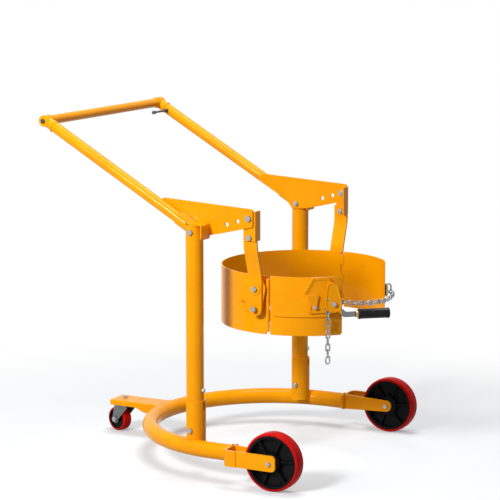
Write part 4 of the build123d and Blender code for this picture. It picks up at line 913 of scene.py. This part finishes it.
def light_sky(settings):
    """Even light from all round, white to the camera and in reflections."""
    world = bpy.data.worlds.new("white_sky")
    bpy.context.scene.world = world
    world.use_nodes = True
    tree = world.node_tree
    tree.nodes.clear()
    even = add_node(tree, "ShaderNodeBackground", {"Color": WHITE, "Strength": settings.sky})
    white = add_node(tree, "ShaderNodeBackground", {"Color": WHITE, "Strength": 1.0})
    mix = add_node(tree, "ShaderNodeMixShader", {"Fac": seen_share(tree)})
    tree.links.new(even.outputs["Background"], mix.inputs[1])
    tree.links.new(white.outputs["Background"], mix.inputs[2])
    add_node(tree, "ShaderNodeOutputWorld", {"Surface": mix.outputs["Shader"]})


def hang_lamp(name, place, target, size, power):
    """Square soft lamp that faces a point."""
    lamp = bpy.data.lights.new(name, "AREA")
    lamp.shape = "SQUARE"
    lamp.size = size
    lamp.energy = power
    holder = bpy.data.objects.new(name, lamp)
    holder.location = place
    holder.rotation_euler = (target - place).to_track_quat("-Z", "Y").to_euler()
    bpy.context.scene.collection.objects.link(holder)


def place_camera(settings):
    """Camera at the viewing angle of the photograph."""
    lens = bpy.data.cameras.new("camera")
    lens.lens = settings.camera_lens
    camera = bpy.data.objects.new("camera", lens)
    camera.location = settings.camera_place
    camera.rotation_euler = settings.camera_turn
    bpy.context.scene.collection.objects.link(camera)
    bpy.context.scene.camera = camera


class CARRIER_OT_stage(bpy.types.Operator):
    """Lays the floor, hangs the lamps and places the camera"""

    bl_idname = "carrier.stage"
    bl_label = "Set the stage"

    def execute(self, context):
        settings = context.scene.carrier_stage
        lay_floor(settings)
        light_sky(settings)
        hang_lamp("key_lamp", settings.key_place, settings.lamp_aim, settings.key_size, settings.key)
        hang_lamp("top_lamp", settings.top_place, settings.lamp_aim, settings.top_size, settings.top)
        place_camera(settings)
        context.scene.view_settings.view_transform = "Standard"
        return {"FINISHED"}


class CARRIER_PT_panel(bpy.types.Panel):
    """Settings and steps of the drum carrier's looks"""

    bl_idname = "CARRIER_PT_panel"
    bl_label = "Drum carrier"
    bl_space_type = "VIEW_3D"
    bl_region_type = "UI"
    bl_category = "Drum carrier"

    def draw(self, context):
        for operator in OPERATORS:
            self.layout.operator(operator.bl_idname)
        for name, group in SETTINGS.items():
            box = self.layout.box()
            box.label(text=group.__doc__)
            for field in group.__annotations__:
                box.prop(getattr(context.scene, name), field)


SETTINGS = {
    "carrier_paint": PaintSettings,
    "carrier_welds": WeldSettings,
    "carrier_wheels": WheelSettings,
    "carrier_steel": SteelSettings,
    "carrier_lever": LeverSettings,
    "carrier_stage": StageSettings,
}
OPERATORS = (
    CARRIER_OT_paint,
    CARRIER_OT_wheels,
    CARRIER_OT_steel,
    CARRIER_OT_lever,
    CARRIER_OT_stage,
)


def register():
    """Registers the settings, the operators and the panel."""
    for group in SETTINGS.values():
        bpy.utils.register_class(group)
    for name, group in SETTINGS.items():
        setattr(bpy.types.Scene, name, bpy.props.PointerProperty(type=group))
    for operator in OPERATORS:
        bpy.utils.register_class(operator)
    bpy.utils.register_class(CARRIER_PT_panel)


def unregister():
    """Takes back what register does."""
    bpy.utils.unregister_class(CARRIER_PT_panel)
    for operator in reversed(OPERATORS):
        bpy.utils.unregister_class(operator)
    for name, group in SETTINGS.items():
        delattr(bpy.types.Scene, name)
        bpy.utils.unregister_class(group)


def main():
    """Runs every step in order."""
    register()
    bpy.ops.carrier.paint()
    bpy.ops.carrier.wheels()
    bpy.ops.carrier.steel()
    bpy.ops.carrier.lever()
    bpy.ops.carrier.stage()
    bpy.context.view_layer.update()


if __name__ == "__main__":
    main()
